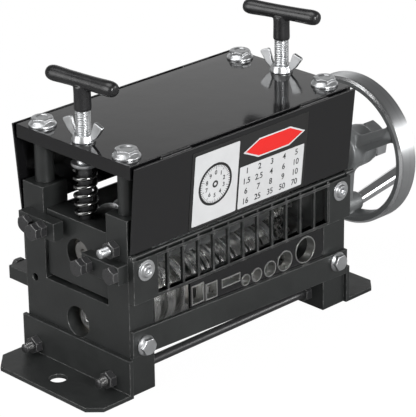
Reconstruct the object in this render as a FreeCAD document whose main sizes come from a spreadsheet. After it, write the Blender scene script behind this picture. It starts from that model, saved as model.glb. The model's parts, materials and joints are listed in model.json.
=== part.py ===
import FreeCAD, Part
import math
import os
import re

import Sketcher

# Hand crank wire stripper: two end plates carry a lower shaft of feed rollers and an upper shaft
# of cutting discs. The upper shaft runs in blocks that slide in the end plates under a spring and
# a T-handled screw each. Origin on the bench, in the middle of the end plates' footprint; +X
# towards the handwheel, -Y towards the wire entry, +Z up. Millimetres and degrees.

# ---------------------------------------------------------------- driving dimensions

FRAME_SPAN = 192  # outer face to outer face of the end plates
FRAME_DEPTH = 95  # end plates, front to rear
PLATE_THICKNESS = 20  # end plates, along the shafts
PLATE_HEIGHT = 117.2  # end plates, top of the ears
EAR_WIDTH = 18.9  # ears beside the slot
SLOT_FLOOR = 56.4  # height of the slot's floor
LOWER_AXIS = 35.5  # height of the lower shaft
SHAFT_SPACING = 45  # between the two shafts
SPARE_HOLE_INSET = 8  # spare hole from the rear face
SPARE_HOLE_HEIGHT = 53.5  # height of the spare hole
SPARE_HOLE_RADIUS = 2.5  # spare hole

SEAT_CLEARANCE = 0.05  # radial, of a part that sits still in its hole
RUNNING_CLEARANCE = 0.06  # radial, of a shaft in its bush
HOLE_CLEARANCE = 0.4  # radial, of a screw through a plain hole
SLIDE_CLEARANCE = 0.3  # each side of a sliding block
FACE_GAP = 0.1  # between faces of neighbours on one shaft

BLOCK_INSET = 2  # bearing block behind each face of its end plate
BLOCK_BOTTOM = 59  # underside of the bearing blocks
BLOCK_HEIGHT = 44  # bearing blocks
LIFT_TRAVEL = 3  # rise of the bearing blocks
BUSH_WALL = 1.94  # shaft bushes
BUSH_LENGTH = 10  # shaft bushes
SHAFT_RADIUS = 8  # both shafts
SHAFT_PROUD = 2  # shaft ends past their bushes
SHAFT_CHAMFER = 1  # shaft ends
CENTRE_RADIUS = 2.5  # centre drillings in the shaft ends
CENTRE_DEPTH = 4  # centre drillings in the shaft ends

PLATE_GAP = 27.1  # spacer posts between ears and top plate
TOP_THICKNESS = 9  # top plate
TOP_OVERHANG = 4  # top plate past the end plates' faces
POST_RADIUS = 6  # spacer posts

BOLT_RADIUS = 4  # M8 bolts
BOLT_HEX = 13  # M8 bolts, across flats
BOLT_HEAD = 5.5  # M8 bolts, head with flange
BOLT_FLANGE_RADIUS = 8.75  # M8 bolts, flange
BOLT_FLANGE_RIM = 1.2  # M8 bolts, edge of the flange
BOLT_DISH_RADIUS = 4.2  # shallow dish in the heads of the M8 bolts
BOLT_DISH_DEPTH = 0.5  # shallow dish in the heads of the M8 bolts
BOLT_REACH = 15  # M8 bolts into the end plates
DRILL_SPARE = 1  # blind holes past their screws
SCREW_RADIUS = 3  # M6 screws and rods
SCREW_HEX = 10  # M6 hexagons, across flats
SCREW_HEAD = 4  # M6 heads
NUT_HEIGHT = 5  # M6 nuts
SCREW_REACH = 12  # M6 screws into the front and rear faces of the end plates
SMALL_FLANGE_RADIUS = 6.65  # M6 flange screws, flange
SMALL_FLANGE_RIM = 0.9  # M6 flange screws, edge of the flange
SMALL_FLANGE_HEAD = 4.6  # M6 flange screws, head with flange
BUTTON_RADIUS = 5.4  # button heads at the flange
BUTTON_TOP_RADIUS = 3.6  # button heads at the top
BUTTON_HEIGHT = 2.6  # button heads with flange
SOCKET_HEX = 4  # sockets of the button heads, across flats
SOCKET_DEPTH = 1.6  # sockets of the button heads

TIE_HEIGHT = 9  # tie rods above the bench
TIE_FRONT_INSET = 15  # front tie rod from the front face
TIE_REAR_INSET = 10.5  # rear tie rod from the rear face
TIE_OVERHANG = 14  # tie rods past the end plates
FOOT_THICKNESS = 3  # sheet of the feet
FOOT_LENGTH = 100  # feet, front to rear
FOOT_REACH = 33  # feet past the end plates
FOOT_HEIGHT = 26  # upright leg of the feet
FOOT_FRONT_CORNER = 8  # cut front corners of the feet
FOOT_REAR_CORNER = 12  # cut rear corners of the feet
FOOT_HOLE_RADIUS = 5.5  # mounting holes
FOOT_HOLE_INSET = 18  # mounting holes past the end plates

FRONT_BAR_THICKNESS = 3  # front bar
FRONT_BAR_WIDTH = 17.5  # front bar
FRONT_BAR_LEFT = 36  # height of the front bar's middle at the left end
FRONT_BAR_RIGHT = 30.2  # height of the front bar's middle at the right end
FRONT_BOLT_HEIGHT = 33.3  # front bar bolts
REAR_BAR_DEPTH = 18  # rear guide bar, front to rear
REAR_BAR_HEIGHT = 9  # rear guide bar
REAR_BAR_LEVEL = 49  # middle of the rear guide bar
GUARD_THICKNESS = 1.5  # rear guard, sheet
GUARD_BOTTOM = 63.3  # lower edge of the rear guard
GUARD_TOP = 92  # upper edge of the rear guard
GUARD_SCREW_HEIGHT = 76  # screws of the rear guard

COMB_BOTTOM = 63.3  # underside of the comb's lower rail
COMB_TOP = 92  # top of the comb's upper rail
COMB_DEPTH = 5  # comb frame, front to rear
RAIL_HEIGHT = 2  # comb rails
COMB_BOLT_HEIGHT = 84  # comb bolts
DIVIDER_FIRST = 67.4  # first divider left of the middle
CHANNEL_PITCH = 12.94  # divider to divider
DIVIDERS = 12  # comb dividers
BLADES = 10  # cutting discs, and feed rollers below them
KNURLED = 4  # knurled feed rollers, at the left end
DIVIDER_THICKNESS = 1.5  # comb dividers
DIVIDER_DEPTH = 2.4  # dividers, front to back
DIVIDER_TAB = 1.1  # width of the dividers' tabs
TAB_INSET = 0.2  # dividers' tabs behind the comb's front
TAB_PROUD = 1.5  # tabs above the upper rail
ROD_RADIUS = 1.25  # latch rod
ROD_STAND_OFF = 2.3  # latch rod in front of the end plates
ROD_LEFT_PROUD = 0.6  # latch rod past the left end plate
ROD_RIGHT_PROUD = 5  # latch rod past the right end plate
LUG_RADIUS = 2.2  # lugs that hold the latch rod
LUG_LENGTH = 3  # lugs that hold the latch rod

GUIDE_THICKNESS = 2  # hole guide plate
GUIDE_BOTTOM = 30.5  # lower edge of the hole guide plate
GUIDE_TOP_GAP = 0.2  # hole guide plate below the comb
SLEEVE_WALL = 0.8  # guide sleeves
SLEEVE_PROUD = 0.5  # guide sleeves in front of their plate
SLEEVE_LENGTH = 6.5  # guide sleeves
WINDOW_LOW = 42  # lower edge of the guide plate's window
WINDOW_EDGE = 1  # guide plate left of its window and above it
WINDOW_WALL = 0.6  # between the window and the first guide hole
TALL_GUIDE_PLACE = -38.6  # tall guide hole, right of the middle
TALL_GUIDE_LEVEL = 50.7  # tall guide hole, height of its middle
TALL_GUIDE_WIDTH = 10.8  # tall guide hole's sleeve
TALL_GUIDE_HEIGHT = 13  # tall guide hole's sleeve
SQUARE_GUIDE_PLACE = -26.8  # square guide hole, right of the middle
SQUARE_GUIDE_LEVEL = 49.1  # square guide hole, height of its middle
SQUARE_GUIDE_WIDTH = 10.4  # square guide hole's sleeve
SQUARE_GUIDE_HEIGHT = 11.1  # square guide hole's sleeve
WIDE_GUIDE_PLACE = -9.5  # wide guide hole, right of the middle
WIDE_GUIDE_LEVEL = 50.3  # wide guide hole, height of its middle
WIDE_GUIDE_WIDTH = 16.6  # wide guide hole's sleeve
WIDE_GUIDE_HEIGHT = 6.2  # wide guide hole's sleeve
FIRST_GUIDE_PLACE = 3.7  # first round guide hole, right of the middle
FIRST_GUIDE_LEVEL = 46.2  # first round guide hole, height of its middle
FIRST_GUIDE_BORE = 8  # first round guide hole's sleeve, outside diameter
SECOND_GUIDE_PLACE = 13.6  # second round guide hole, right of the middle
SECOND_GUIDE_LEVEL = 46.5  # second round guide hole, height of its middle
SECOND_GUIDE_BORE = 9.5  # second round guide hole's sleeve, outside diameter
THIRD_GUIDE_PLACE = 25.7  # third round guide hole, right of the middle
THIRD_GUIDE_LEVEL = 46.7  # third round guide hole, height of its middle
THIRD_GUIDE_BORE = 11  # third round guide hole's sleeve, outside diameter
FOURTH_GUIDE_PLACE = 39.3  # fourth round guide hole, right of the middle
FOURTH_GUIDE_LEVEL = 47.9  # fourth round guide hole, height of its middle
FOURTH_GUIDE_BORE = 14  # fourth round guide hole's sleeve, outside diameter
FIFTH_GUIDE_PLACE = 58.3  # fifth round guide hole, right of the middle
FIFTH_GUIDE_LEVEL = 49.6  # fifth round guide hole, height of its middle
FIFTH_GUIDE_BORE = 18.5  # fifth round guide hole's sleeve, outside diameter

GIB_THICKNESS = 8  # block retainers
GIB_LENGTH = 33  # block retainers, front to rear, the right front one is shorter
GIB_HEIGHT = 12  # block retainers
FRONT_GIB_LEVEL = 83.5  # middle of the front retainers
REAR_GIB_LEVEL = 94.5  # middle of the rear retainers
REAR_GIB_INSET = 4  # rear retainers from the rear face
FRONT_SCREW_INSET = 28  # front adjusting screws from the front face
FRONT_BOLT_INSET = 5  # front retainer bolts from the front face
RIGHT_SETBACK = 9.5  # right front retainer's front end and its bolt, behind the left ones
REAR_SCREW_INSET = 26  # rear adjusting screws from the rear face
REAR_BOLT_INSET = 12.5  # rear retainer bolts from the rear face
GIB_BOLT_REACH = 4.8  # retainer bolts into the end plates
SCREW_END = 17.3  # adjusting screws past the end plates
STUD_INSET = 12  # side stud from the front face
STUD_LEVEL = 96  # side stud
STUD_PROUD = 12  # side stud past the left end plate
STUD_REACH = 11  # side stud into the left end plate

HINGE_OFFSET = 60  # hinges from the middle
HINGE_LENGTH = 24  # hinges
KNUCKLE_LENGTH = 8  # middle knuckle of the hinges
KNUCKLE_RADIUS = 1.3  # hinge knuckles
KNUCKLE_GAP = 0.3  # knuckles to the top plate, to the cover's sheet and end to end
PIN_RADIUS = 0.6  # hinge pins
PIN_CLEARANCE = 0.1  # radial, hinge pins in the covers' knuckles
LEAF_THICKNESS = 1.2  # frame leaves of the hinges
COVER_LEAF_THICKNESS = 0.8  # cover leaves of the hinges
COVER_LEAF_HEIGHT = 14  # cover leaves of the hinges below the pin
COVER_THICKNESS = 1.2  # sheet of the covers
COVER_LEAN = 5.8  # covers lean inwards by this angle
COVER_LIP = 0.9  # covers above the hinge pins
COVER_GAP = 0.6  # covers above the latch rod's lugs
LABEL_LEFT = 48.5  # label, left of the middle
LABEL_RIGHT = 53  # label, right of the middle
LABEL_HEIGHT = 52  # label along the cover
LABEL_LOW = 1  # label above the cover's lower edge
LABEL_THICKNESS = 0.25  # label

KEY_WIDTH = 5  # shaft keys
KEY_DEPTH = 3  # shaft keys in the shaft
KEY_RISE = 2  # shaft keys above the shaft
SPACER_RADIUS = 14  # spacers and collars
BLADE_RADIUS = 23.5  # cutting discs
BLADE_THICKNESS = 2  # cutting discs
BLADE_BEVEL = 3  # sharpened rim of the cutting discs
BLADE_EDGE = 0.3  # edge of the cutting discs
ROLLER_RADIUS = 22  # grooved feed rollers
KNURLED_RADIUS = 21  # knurled feed rollers
ROLLER_WIDTH = 11.2  # feed rollers
KNURLED_WIDTH = 7  # knurled feed rollers
HUB_RADIUS = 13  # hubs of the feed rollers
GROOVE_FIRST = 4  # depth of the first groove
GROOVE_STEP = 1  # each next groove is deeper by this
GROOVE_ANGLE = 30  # half angle of the grooves
GEAR_TEETH = 18  # gears
GEAR_WIDTH = 11  # gears
GEAR_PRESSURE_ANGLE = 20  # gears
GEAR_BACKLASH = 0.3  # play between tooth flanks, along the pitch circle

WHEEL_RADIUS = 52  # handwheel
RIM_WALL = 6  # radial thickness of the rim
RIM_WIDTH = 16  # rim along the shaft
RIM_ROUNDING = 2.4  # edges of the rim
WHEEL_GAP = 46  # end plate to hub
HUB_LENGTH = 24  # handwheel hub
WHEEL_HUB_RADIUS = 14.7  # handwheel hub
RIM_OFFSET = 4.5  # rim behind the hub's inner end
SPOKE_ROOT = 12  # spokes at the hub
SPOKE_TIP = 10  # spokes at the rim
SPOKE_THICKNESS = 5  # spokes along the shaft
SPOKE_OFFSET = 13  # outer face of the spokes before the hub's outer end
SPOKE_COUNT = 3  # spokes
RIDGE_WIDTH = 4  # ridge on the spokes
RIDGE_HEIGHT = 3  # ridge on the spokes
WHEEL_TURN = 32  # angle of the first spoke above the rear direction
SHOULDER_RADIUS = 10  # shaft between end plate and handwheel
SHOULDER_START = 12  # shoulder of the shaft past the end plate
WASHER_RADIUS = 13  # hub washer
WASHER_THICKNESS = 2  # hub washer
HUB_NUT_HEX = 24  # hub nut, across flats
HUB_NUT_HEIGHT = 10  # hub nut
THREAD_PROUD = 3  # shaft past the hub nut
CRANK_RADIUS = 42  # crank handle's pivot from the shaft
CRANK_LEAN = 10  # crank handle, out of the shaft's direction towards the shaft
CRANK_BOSS_RADIUS = 7  # boss on the spoke
CRANK_STUD_RADIUS = 3  # crank stud
CRANK_STUD_SEAT = 10  # crank stud in its boss
STUD_HEAD_RADIUS = 4.4  # head of the crank stud
STUD_HEAD_LENGTH = 2.5  # head of the crank stud
GRIP_LENGTH = 50  # crank handle
GRIP_ROOT_RADIUS = 4.3  # crank handle at the wheel
GRIP_END_RADIUS = 5.2  # crank handle near its end
GRIP_CLEARANCE = 0.15  # radial, crank handle on its stud
GRIP_GAP = 0.4  # crank handle to the boss and to the stud's head

PRESS_THREAD_RADIUS = 4.9  # pressure screws, M10
PRESS_TIP_RADIUS = 4.2  # pressure screws inside the springs
PRESS_TIP_DEPTH = 6.8  # pressure screws below the blocks' top
COLLAR_RADIUS = 8.5  # collars of the pressure screws
COLLAR_HEIGHT = 3  # collars of the pressure screws
COLLAR_DROP = 4.3  # collars below the top plate
SPRING_RADIUS = 6.3  # springs, to the middle of the wire
SPRING_WIRE = 2.8  # wire of the springs
SPRING_TURNS = 5.5  # turns of the springs
SPRING_GAP = 0.2  # springs to the collars above them
LEFT_BAR_HEIGHT = 191.5  # left T bar
RIGHT_BAR_HEIGHT = 193.5  # right T bar
LEFT_BAR_TURN = 5  # left T bar, turned from front-to-rear
RIGHT_BAR_TURN = 13  # right T bar, turned from front-to-rear
T_NECK_LENGTH = 18.5  # neck of the T handles below the bar
T_NECK_LOW_RADIUS = 5.5  # neck of the T handles at its foot
T_NECK_HIGH_RADIUS = 5.4  # neck of the T handles at the bar
T_BAR_REACH = 23.2  # tapered part of the bars, each side
T_BAR_MIDDLE_RADIUS = 4.4  # T bars at the middle
T_BAR_END_RADIUS = 4.8  # T bars at the foot of their rounded ends
T_BALL_RADIUS = 5  # rounded ends of the T bars
T_SOCKET_SPARE = 6  # pressure screws end this far below the bar's middle
WING_BASE_RADIUS = 7.6  # wing nuts at the plate
WING_TOP_RADIUS = 6.3  # wing nuts at the top of the hub
WING_HUB_HEIGHT = 4.8  # hub of the wing nuts
WING_REACH = 16  # wings from the axis
WING_HEIGHT = 14  # wing nuts
WING_THICKNESS = 2.6  # wings
WING_ROOT = 1.5  # underside of the wings at the hub, above the plate
WING_ELBOW_REACH = 11.8  # outer bend of the wings' underside from the axis
WING_ELBOW_HEIGHT = 4.6  # outer bend of the wings' underside above the plate
WING_TIP_HEIGHT = 10.4  # tips of the wings above the plate
WING_CROWN_REACH = 9.2  # inner edge of the wings at the top, from the axis
WING_CORNER = 1  # cut corners of the wings
WING_RIM = 0.3  # step from the top of the hub down to the wings
LEFT_WING_TURN = 96  # left wing nut
RIGHT_WING_TURN = 100  # right wing nut

SIZES = {name.lower(): number for name, number in list(globals().items())
         if name.isupper() and isinstance(number, (int, float))}

V = FreeCAD.Vector
Rotation = FreeCAD.Rotation
doc = FreeCAD.newDocument("HandCrankWireStripper")
sheet = doc.addObject("Spreadsheet::Sheet", "dim")
for row, (alias, number) in enumerate(SIZES.items(), 1):
    sheet.set(f"A{row}", alias.replace("_", " "))
    sheet.set(f"B{row}", str(number))
    sheet.setAlias(f"B{row}", alias)
doc.recompute()
sub_parts = []

LEFT, RIGHT = -1, 1
FRONT, REAR = -1, 1
END_NAME = {LEFT: "left", RIGHT: "right"}
FACE_NAME = {FRONT: "front", REAR: "rear"}
FLAT_GUIDES = ("tall", "square", "wide")
ROUND_GUIDES = ("first", "second", "third", "fourth", "fifth")

UPRIGHT = Rotation()
TO_REAR = Rotation(V(1, 0, 0), -90)
TO_FRONT = Rotation(V(1, 0, 0), 90)
TO_RIGHT = Rotation(V(0, 1, 0), 90)
TO_LEFT = Rotation(V(0, 1, 0), -90)
OUTWARD = {LEFT: TO_LEFT, RIGHT: TO_RIGHT}


# ---------------------------------------------------------------- shared tools

def linked(expression):
    """The expression with every alias pointed at the spreadsheet."""
    def link(word):
        return f"dim.{word[0]}" if word[0] in SIZES else word[0]
    return re.sub(r"[a-z][a-z0-9_]*", link, str(expression))


def value(expression):
    """What the expression comes to now."""
    return float(sheet.evalExpression(str(expression)))


def low(side, near, far):
    """The lower end of a stretch that lies from near to far on one side of the middle."""
    return f"({near})" if side > 0 else f"-({far})"


def register(item, label):
    """Name an object as a sub-part."""
    item.Label = label
    sub_parts.append(item)
    return item


def set_size(item, name, expression):
    setattr(item, name, value(expression))
    item.setExpression(name, linked(expression))


def place(item, at, turn=UPRIGHT, angle=None):
    """Put an item at three bound coordinates, turned by a fixed or a bound angle."""
    item.Placement = FreeCAD.Placement(V(*(value(step) for step in at)), turn)
    for axis, expression in zip("xyz", at):
        item.setExpression(f"Placement.Base.{axis}", linked(expression))
    if angle is not None:
        item.setExpression("Placement.Rotation.Angle", f"({linked(angle)}) * 1 deg")
    return item


def primitive(kind, name, sizes, at=(0, 0, 0), turn=UPRIGHT):
    """A Part primitive with bound sizes and a bound place."""
    item = doc.addObject(f"Part::{kind}", name)
    for key, expression in sizes.items():
        set_size(item, key, expression)
    return place(item, at, turn)


def cylinder(name, radius, height, at=(0, 0, 0), turn=UPRIGHT):
    return primitive("Cylinder", name, {"Radius": radius, "Height": height}, at, turn)


def cone(name, foot, top, height, at=(0, 0, 0), turn=UPRIGHT):
    sizes = {"Radius1": foot, "Radius2": top, "Height": height}
    return primitive("Cone", name, sizes, at, turn)


def box(name, along_x, along_y, along_z, at=(0, 0, 0)):
    sizes = {"Length": along_x, "Width": along_y, "Height": along_z}
    return primitive("Box", name, sizes, at)


def fuse(name, items):
    item = doc.addObject("Part::MultiFuse", name)
    item.Shapes = items
    item.Refine = True
    return item


def group(name, items):
    """Separate solids kept in one object."""
    item = doc.addObject("Part::Compound", name)
    item.Links = items
    return item


def cut(name, base, tool):
    item = doc.addObject("Part::Cut", name)
    item.Base = base
    item.Tool = tool
    return item


def common(name, base, tool):
    item = doc.addObject("Part::Common", name)
    item.Base = base
    item.Tool = tool
    return item


def tube(name, outer, inner, height, at=(0, 0, 0), turn=UPRIGHT):
    """A tube that stands on its foot before it is placed."""
    wall = cut(name, cylinder(f"{name}_outside", outer, height),
               cylinder(f"{name}_bore", inner, height))
    return place(wall, at, turn)


def new_body(name):
    return doc.addObject("PartDesign::Body", name)


def new_sketch(body, role, offset=0):
    """A sketch on one of the body's own planes, moved along its normal."""
    plane = next(item for item in body.Origin.OriginFeatures if item.Role == f"{role}_Plane")
    sketch = body.newObject("Sketcher::SketchObject", f"{body.Name}_sketch")
    sketch.AttachmentSupport = [(plane, "")]
    sketch.MapMode = "FlatFace"
    sketch.AttachmentOffset = FreeCAD.Placement(V(0, 0, value(offset)), Rotation())
    sketch.setExpression("AttachmentOffset.Base.z", linked(offset))
    return sketch


def hold(sketch, kind, edge, point, expression):
    """Bind one coordinate of a point to the sketch's origin."""
    number = sketch.addConstraint(
        Sketcher.Constraint(kind, -1, 1, edge, point, value(expression)))
    sketch.setExpression(f"Constraints[{number}]", linked(expression))


def outline(sketch, corners):
    """A closed outline of straight edges, every corner bound."""
    first = sketch.GeometryCount
    count = len(corners)
    points = [V(value(across), value(up), 0) for across, up in corners]
    for step, point in enumerate(points):
        sketch.addGeometry(Part.LineSegment(point, points[(step + 1) % count]))
    for step in range(count):
        following = first + (step + 1) % count
        sketch.addConstraint(Sketcher.Constraint("Coincident", first + step, 2, following, 1))
    for step, (across, up) in enumerate(corners):
        hold(sketch, "DistanceX", first + step, 1, across)
        hold(sketch, "DistanceY", first + step, 1, up)


def rectangle(sketch, left, right, bottom, top):
    outline(sketch, ((left, bottom), (right, bottom), (right, top), (left, top)))


def circle(sketch, across, up, radius):
    edge = sketch.GeometryCount
    sketch.addGeometry(Part.Circle(V(value(across), value(up), 0), V(0, 0, 1), value(radius)))
    hold(sketch, "DistanceX", edge, 3, across)
    hold(sketch, "DistanceY", edge, 3, up)
    number = sketch.addConstraint(Sketcher.Constraint("Radius", edge, value(radius)))
    sketch.setExpression(f"Constraints[{number}]", linked(radius))


def pad(body, sketch, length):
    feature = body.newObject("PartDesign::Pad", f"{body.Name}_pad")
    feature.Profile = sketch
    set_size(feature, "Length", length)
    return feature


def pocket(body, sketch, depth, along_normal=False):
    """Cut a sketch into the body, against the sketch's normal unless told otherwise."""
    feature = body.newObject("PartDesign::Pocket", f"{body.Name}_pocket")
    feature.Profile = sketch
    feature.Reversed = along_normal
    set_size(feature, "Length", depth)
    return feature


def revolution(body, sketch, axis="H_Axis"):
    feature = body.newObject("PartDesign::Revolution", f"{body.Name}_revolution")
    feature.Profile = sketch
    feature.ReferenceAxis = (sketch, [axis])
    return feature


def turned_body(name, corners, at=(0, 0, 0)):
    """A body turned about its own X axis from corners (along, radius)."""
    body = new_body(name)
    sketch = new_sketch(body, "XZ")
    outline(sketch, corners)
    revolution(body, sketch)
    return place(body, at)


def hexagon(name, across_flats, height):
    """A hexagon with its upper corners bevelled."""
    sizes = {"Circumradius": f"{across_flats} / 2 / cos(30)", "Height": height}
    bar = primitive("Prism", f"{name}_bar", sizes)
    top = f"{across_flats} * 0.47"
    bevel = cone(f"{name}_bevel", f"{top} + {height} / tan(30)", top, height)
    return common(f"{name}_hexagon", bar, bevel)


def flange_bolt(name, shank, at, turn):
    """An M8 hex flange bolt, its seat at the given place and its head along the turned +Z."""
    rim = cylinder(f"{name}_rim", "bolt_flange_radius", "bolt_flange_rim")
    slope = cone(f"{name}_slope", "bolt_flange_radius", "bolt_hex / 2", "bolt_flange_rim * 2",
                 (0, 0, "bolt_flange_rim"))
    head = hexagon(f"{name}_head", "bolt_hex", "bolt_head")
    stem = cylinder(f"{name}_stem", "bolt_radius", shank, (0, 0, f"-({shank})"))
    dish = cone(f"{name}_dish", "bolt_dish_radius - bolt_dish_depth", "bolt_dish_radius",
                "bolt_dish_depth", (0, 0, "bolt_head - bolt_dish_depth"))
    return place(cut(name, fuse(f"{name}_solid", [rim, slope, head, stem]), dish), at, turn)


def small_flange_screw(name, shank, at, turn):
    """An M6 hex flange screw, its seat at the given place and its head along the turned +Z."""
    rim = cylinder(f"{name}_rim", "small_flange_radius", "small_flange_rim")
    slope = cone(f"{name}_slope", "small_flange_radius", "screw_hex / 2", "small_flange_rim * 2",
                 (0, 0, "small_flange_rim"))
    head = hexagon(f"{name}_head", "screw_hex", "small_flange_head")
    stem = cylinder(f"{name}_stem", "screw_radius", shank, (0, 0, f"-({shank})"))
    return place(fuse(name, [rim, slope, head, stem]), at, turn)


def button_screw(name, shank, at, turn):
    """An M6 flanged button screw with a hexagon socket, placed as the flange screws are."""
    rim = cylinder(f"{name}_rim", "small_flange_radius", "small_flange_rim")
    dome = cone(f"{name}_dome", "button_radius", "button_top_radius", "button_height")
    stem = cylinder(f"{name}_stem", "screw_radius", shank, (0, 0, f"-({shank})"))
    sizes = {"Circumradius": "socket_hex / 2 / cos(30)", "Height": "socket_depth"}
    socket = primitive("Prism", f"{name}_socket", sizes, (0, 0, "button_height - socket_depth"))
    return place(cut(name, fuse(f"{name}_solid", [rim, dome, stem]), socket), at, turn)


def hex_screw(name, shank, at, turn):
    """An M6 hex screw, its seat at the given place and its head along the turned +Z."""
    head = hexagon(f"{name}_head", "screw_hex", "screw_head")
    stem = cylinder(f"{name}_stem", "screw_radius", shank, (0, 0, f"-({shank})"))
    return place(fuse(name, [head, stem]), at, turn)


def hex_nut(name, across_flats, height, bore, at, turn):
    """A hex nut that stands on its seat, bevelled side out."""
    body = hexagon(name, across_flats, height)
    return place(cut(name, body, cylinder(f"{name}_bore", bore, height)), at, turn)


def screw_nut(name, at, turn):
    return hex_nut(name, "screw_hex", "nut_height", "screw_radius + seat_clearance", at, turn)


# ---------------------------------------------------------------- places that several parts share

UPPER_AXIS = "(lower_axis + shaft_spacing)"
FRONT_FACE = "(frame_depth / 2)"
PLATE_OUTER = "(frame_span / 2)"
PLATE_INNER = "(frame_span / 2 - plate_thickness)"
PLATE_MIDDLE = "((frame_span - plate_thickness) / 2)"
SLOT_HALF = "(frame_depth / 2 - ear_width)"
EAR_MIDDLE = "(frame_depth / 2 - ear_width / 2)"
BUSH_RADIUS = "(shaft_radius + running_clearance + bush_wall)"
BLOCK_TOP = "(block_bottom + block_height)"
BLOCK_OUTER = "(frame_span / 2 - block_inset)"
BLOCK_INNER = "(frame_span / 2 - plate_thickness + block_inset)"
TOP_UNDERSIDE = "(plate_height + plate_gap)"
TOP_FACE = "(plate_height + plate_gap + top_thickness)"
TOP_EDGE = "(frame_depth / 2 + top_overhang)"
TIE_FRONT = "(frame_depth / 2 - tie_front_inset)"
TIE_REAR = "(frame_depth / 2 - tie_rear_inset)"
STUD_Y = "(stud_inset - frame_depth / 2)"
HINGE_Y = "(frame_depth / 2 + top_overhang + knuckle_gap + knuckle_radius)"
HINGE_Z = "(plate_height + plate_gap + top_thickness - knuckle_radius)"
ROD_LEVEL = "(comb_top + rod_radius + seat_clearance)"
COVER_DROP = f"(({HINGE_Z} - {ROD_LEVEL} - lug_radius - cover_gap) / cos(cover_lean))"
COVER_INNER = "(knuckle_radius + knuckle_gap)"
COVER_OUTER = "(knuckle_radius + knuckle_gap + cover_thickness)"
FLANGE_INNER = "(frame_span / 2 + foot_thickness)"
GIB_OUTER = "(frame_span / 2 + gib_thickness)"
COLLAR_TOP = f"({TOP_UNDERSIDE} - collar_drop)"
COLLAR_FOOT = f"({COLLAR_TOP} - collar_height)"
HUB_START = "(frame_span / 2 + wheel_gap)"
HUB_END = "(frame_span / 2 + wheel_gap + hub_length)"
RIM_START = "(frame_span / 2 + wheel_gap + rim_offset)"
RIM_END = "(frame_span / 2 + wheel_gap + rim_offset + rim_width)"
NUT_SEAT = f"({HUB_END} + washer_thickness)"
CRANK_Y = "(crank_radius * cos(wheel_turn - 120))"
CRANK_Z = f"({UPPER_AXIS} + crank_radius * sin(wheel_turn - 120))"
GEAR_MIDDLE = "(-divider_first + (blades + 0.5) * channel_pitch)"
GEAR_START = f"({GEAR_MIDDLE} - gear_width / 2)"
GEAR_END = f"({GEAR_MIDDLE} + gear_width / 2)"
STACK_START = f"(-{PLATE_INNER} + slide_clearance)"


def divider_place(step):
    return f"(-divider_first + {step} * channel_pitch)"


def channel_place(step):
    return f"(-divider_first + {step + 0.5} * channel_pitch)"


def setback(side):
    """How far the front retainer of this side lies behind the front face."""
    return "right_setback" if side == RIGHT else "0"


def front_bolt_place(side):
    return f"({setback(side)} + front_bolt_inset - frame_depth / 2)"


# ---------------------------------------------------------------- frame

def end_plate(side):
    """Thick plate with a U-slot for the bearing block and a bore for the lower shaft."""
    body = new_body(f"{END_NAME[side]}_plate")
    face = new_sketch(body, "YZ", low(side, PLATE_INNER, PLATE_OUTER))
    outline(face, (
        (f"-{FRONT_FACE}", 0),
        (FRONT_FACE, 0),
        (FRONT_FACE, "plate_height"),
        (SLOT_HALF, "plate_height"),
        (SLOT_HALF, "slot_floor"),
        (f"-{SLOT_HALF}", "slot_floor"),
        (f"-{SLOT_HALF}", "plate_height"),
        (f"-{FRONT_FACE}", "plate_height"),
    ))
    circle(face, 0, "lower_axis", f"{BUSH_RADIUS} + seat_clearance")
    circle(face, f"-{TIE_FRONT}", "tie_height", "screw_radius + hole_clearance")
    circle(face, TIE_REAR, "tie_height", "screw_radius + hole_clearance")
    circle(face, "frame_depth / 2 - spare_hole_inset", "spare_hole_height", "spare_hole_radius")
    pad(body, face, "plate_thickness")

    ears = new_sketch(body, "XY", "plate_height")
    for across in (f"-{EAR_MIDDLE}", EAR_MIDDLE):
        circle(ears, f"{side} * {PLATE_MIDDLE}", across, "bolt_radius + seat_clearance")
    pocket(body, ears, "bolt_reach + drill_spare")

    front = new_sketch(body, "XZ", FRONT_FACE)
    for level in ("comb_bolt_height", "front_bolt_height"):
        circle(front, f"{side} * {PLATE_MIDDLE}", level, "screw_radius + seat_clearance")
    pocket(body, front, "screw_reach + drill_spare")

    rear = new_sketch(body, "XZ", f"-{FRONT_FACE}")
    for level in ("rear_bar_level", "guard_screw_height"):
        circle(rear, f"{side} * {PLATE_MIDDLE}", level, "screw_radius + seat_clearance")
    pocket(body, rear, "screw_reach + drill_spare", along_normal=True)

    outside = new_sketch(body, "YZ", f"{side} * {PLATE_OUTER}")
    circle(outside, front_bolt_place(side), "front_gib_level", "screw_radius + seat_clearance")
    circle(outside, "frame_depth / 2 - rear_bolt_inset", "rear_gib_level",
           "screw_radius + seat_clearance")
    pocket(body, outside, "gib_bolt_reach + drill_spare / 2", along_normal=side == LEFT)

    if side == LEFT:
        stud = new_sketch(body, "YZ", f"-{PLATE_OUTER}")
        circle(stud, STUD_Y, "stud_level", "screw_radius + seat_clearance")
        pocket(body, stud, "stud_reach + drill_spare", along_normal=True)
    register(body, f"{END_NAME[side]}_end_plate")


def top_plate():
    body = new_body("top")
    face = new_sketch(body, "XY")
    rectangle(face, f"-{PLATE_OUTER}", PLATE_OUTER, f"-{TOP_EDGE}", TOP_EDGE)
    for side in (LEFT, RIGHT):
        circle(face, f"{side} * {PLATE_MIDDLE}", 0, "press_thread_radius + seat_clearance * 2")
        for across in (f"-{EAR_MIDDLE}", EAR_MIDDLE):
            circle(face, f"{side} * {PLATE_MIDDLE}", across, "bolt_radius + hole_clearance")
    pad(body, face, "top_thickness")
    register(place(body, (0, 0, TOP_UNDERSIDE)), "top_plate")


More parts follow.
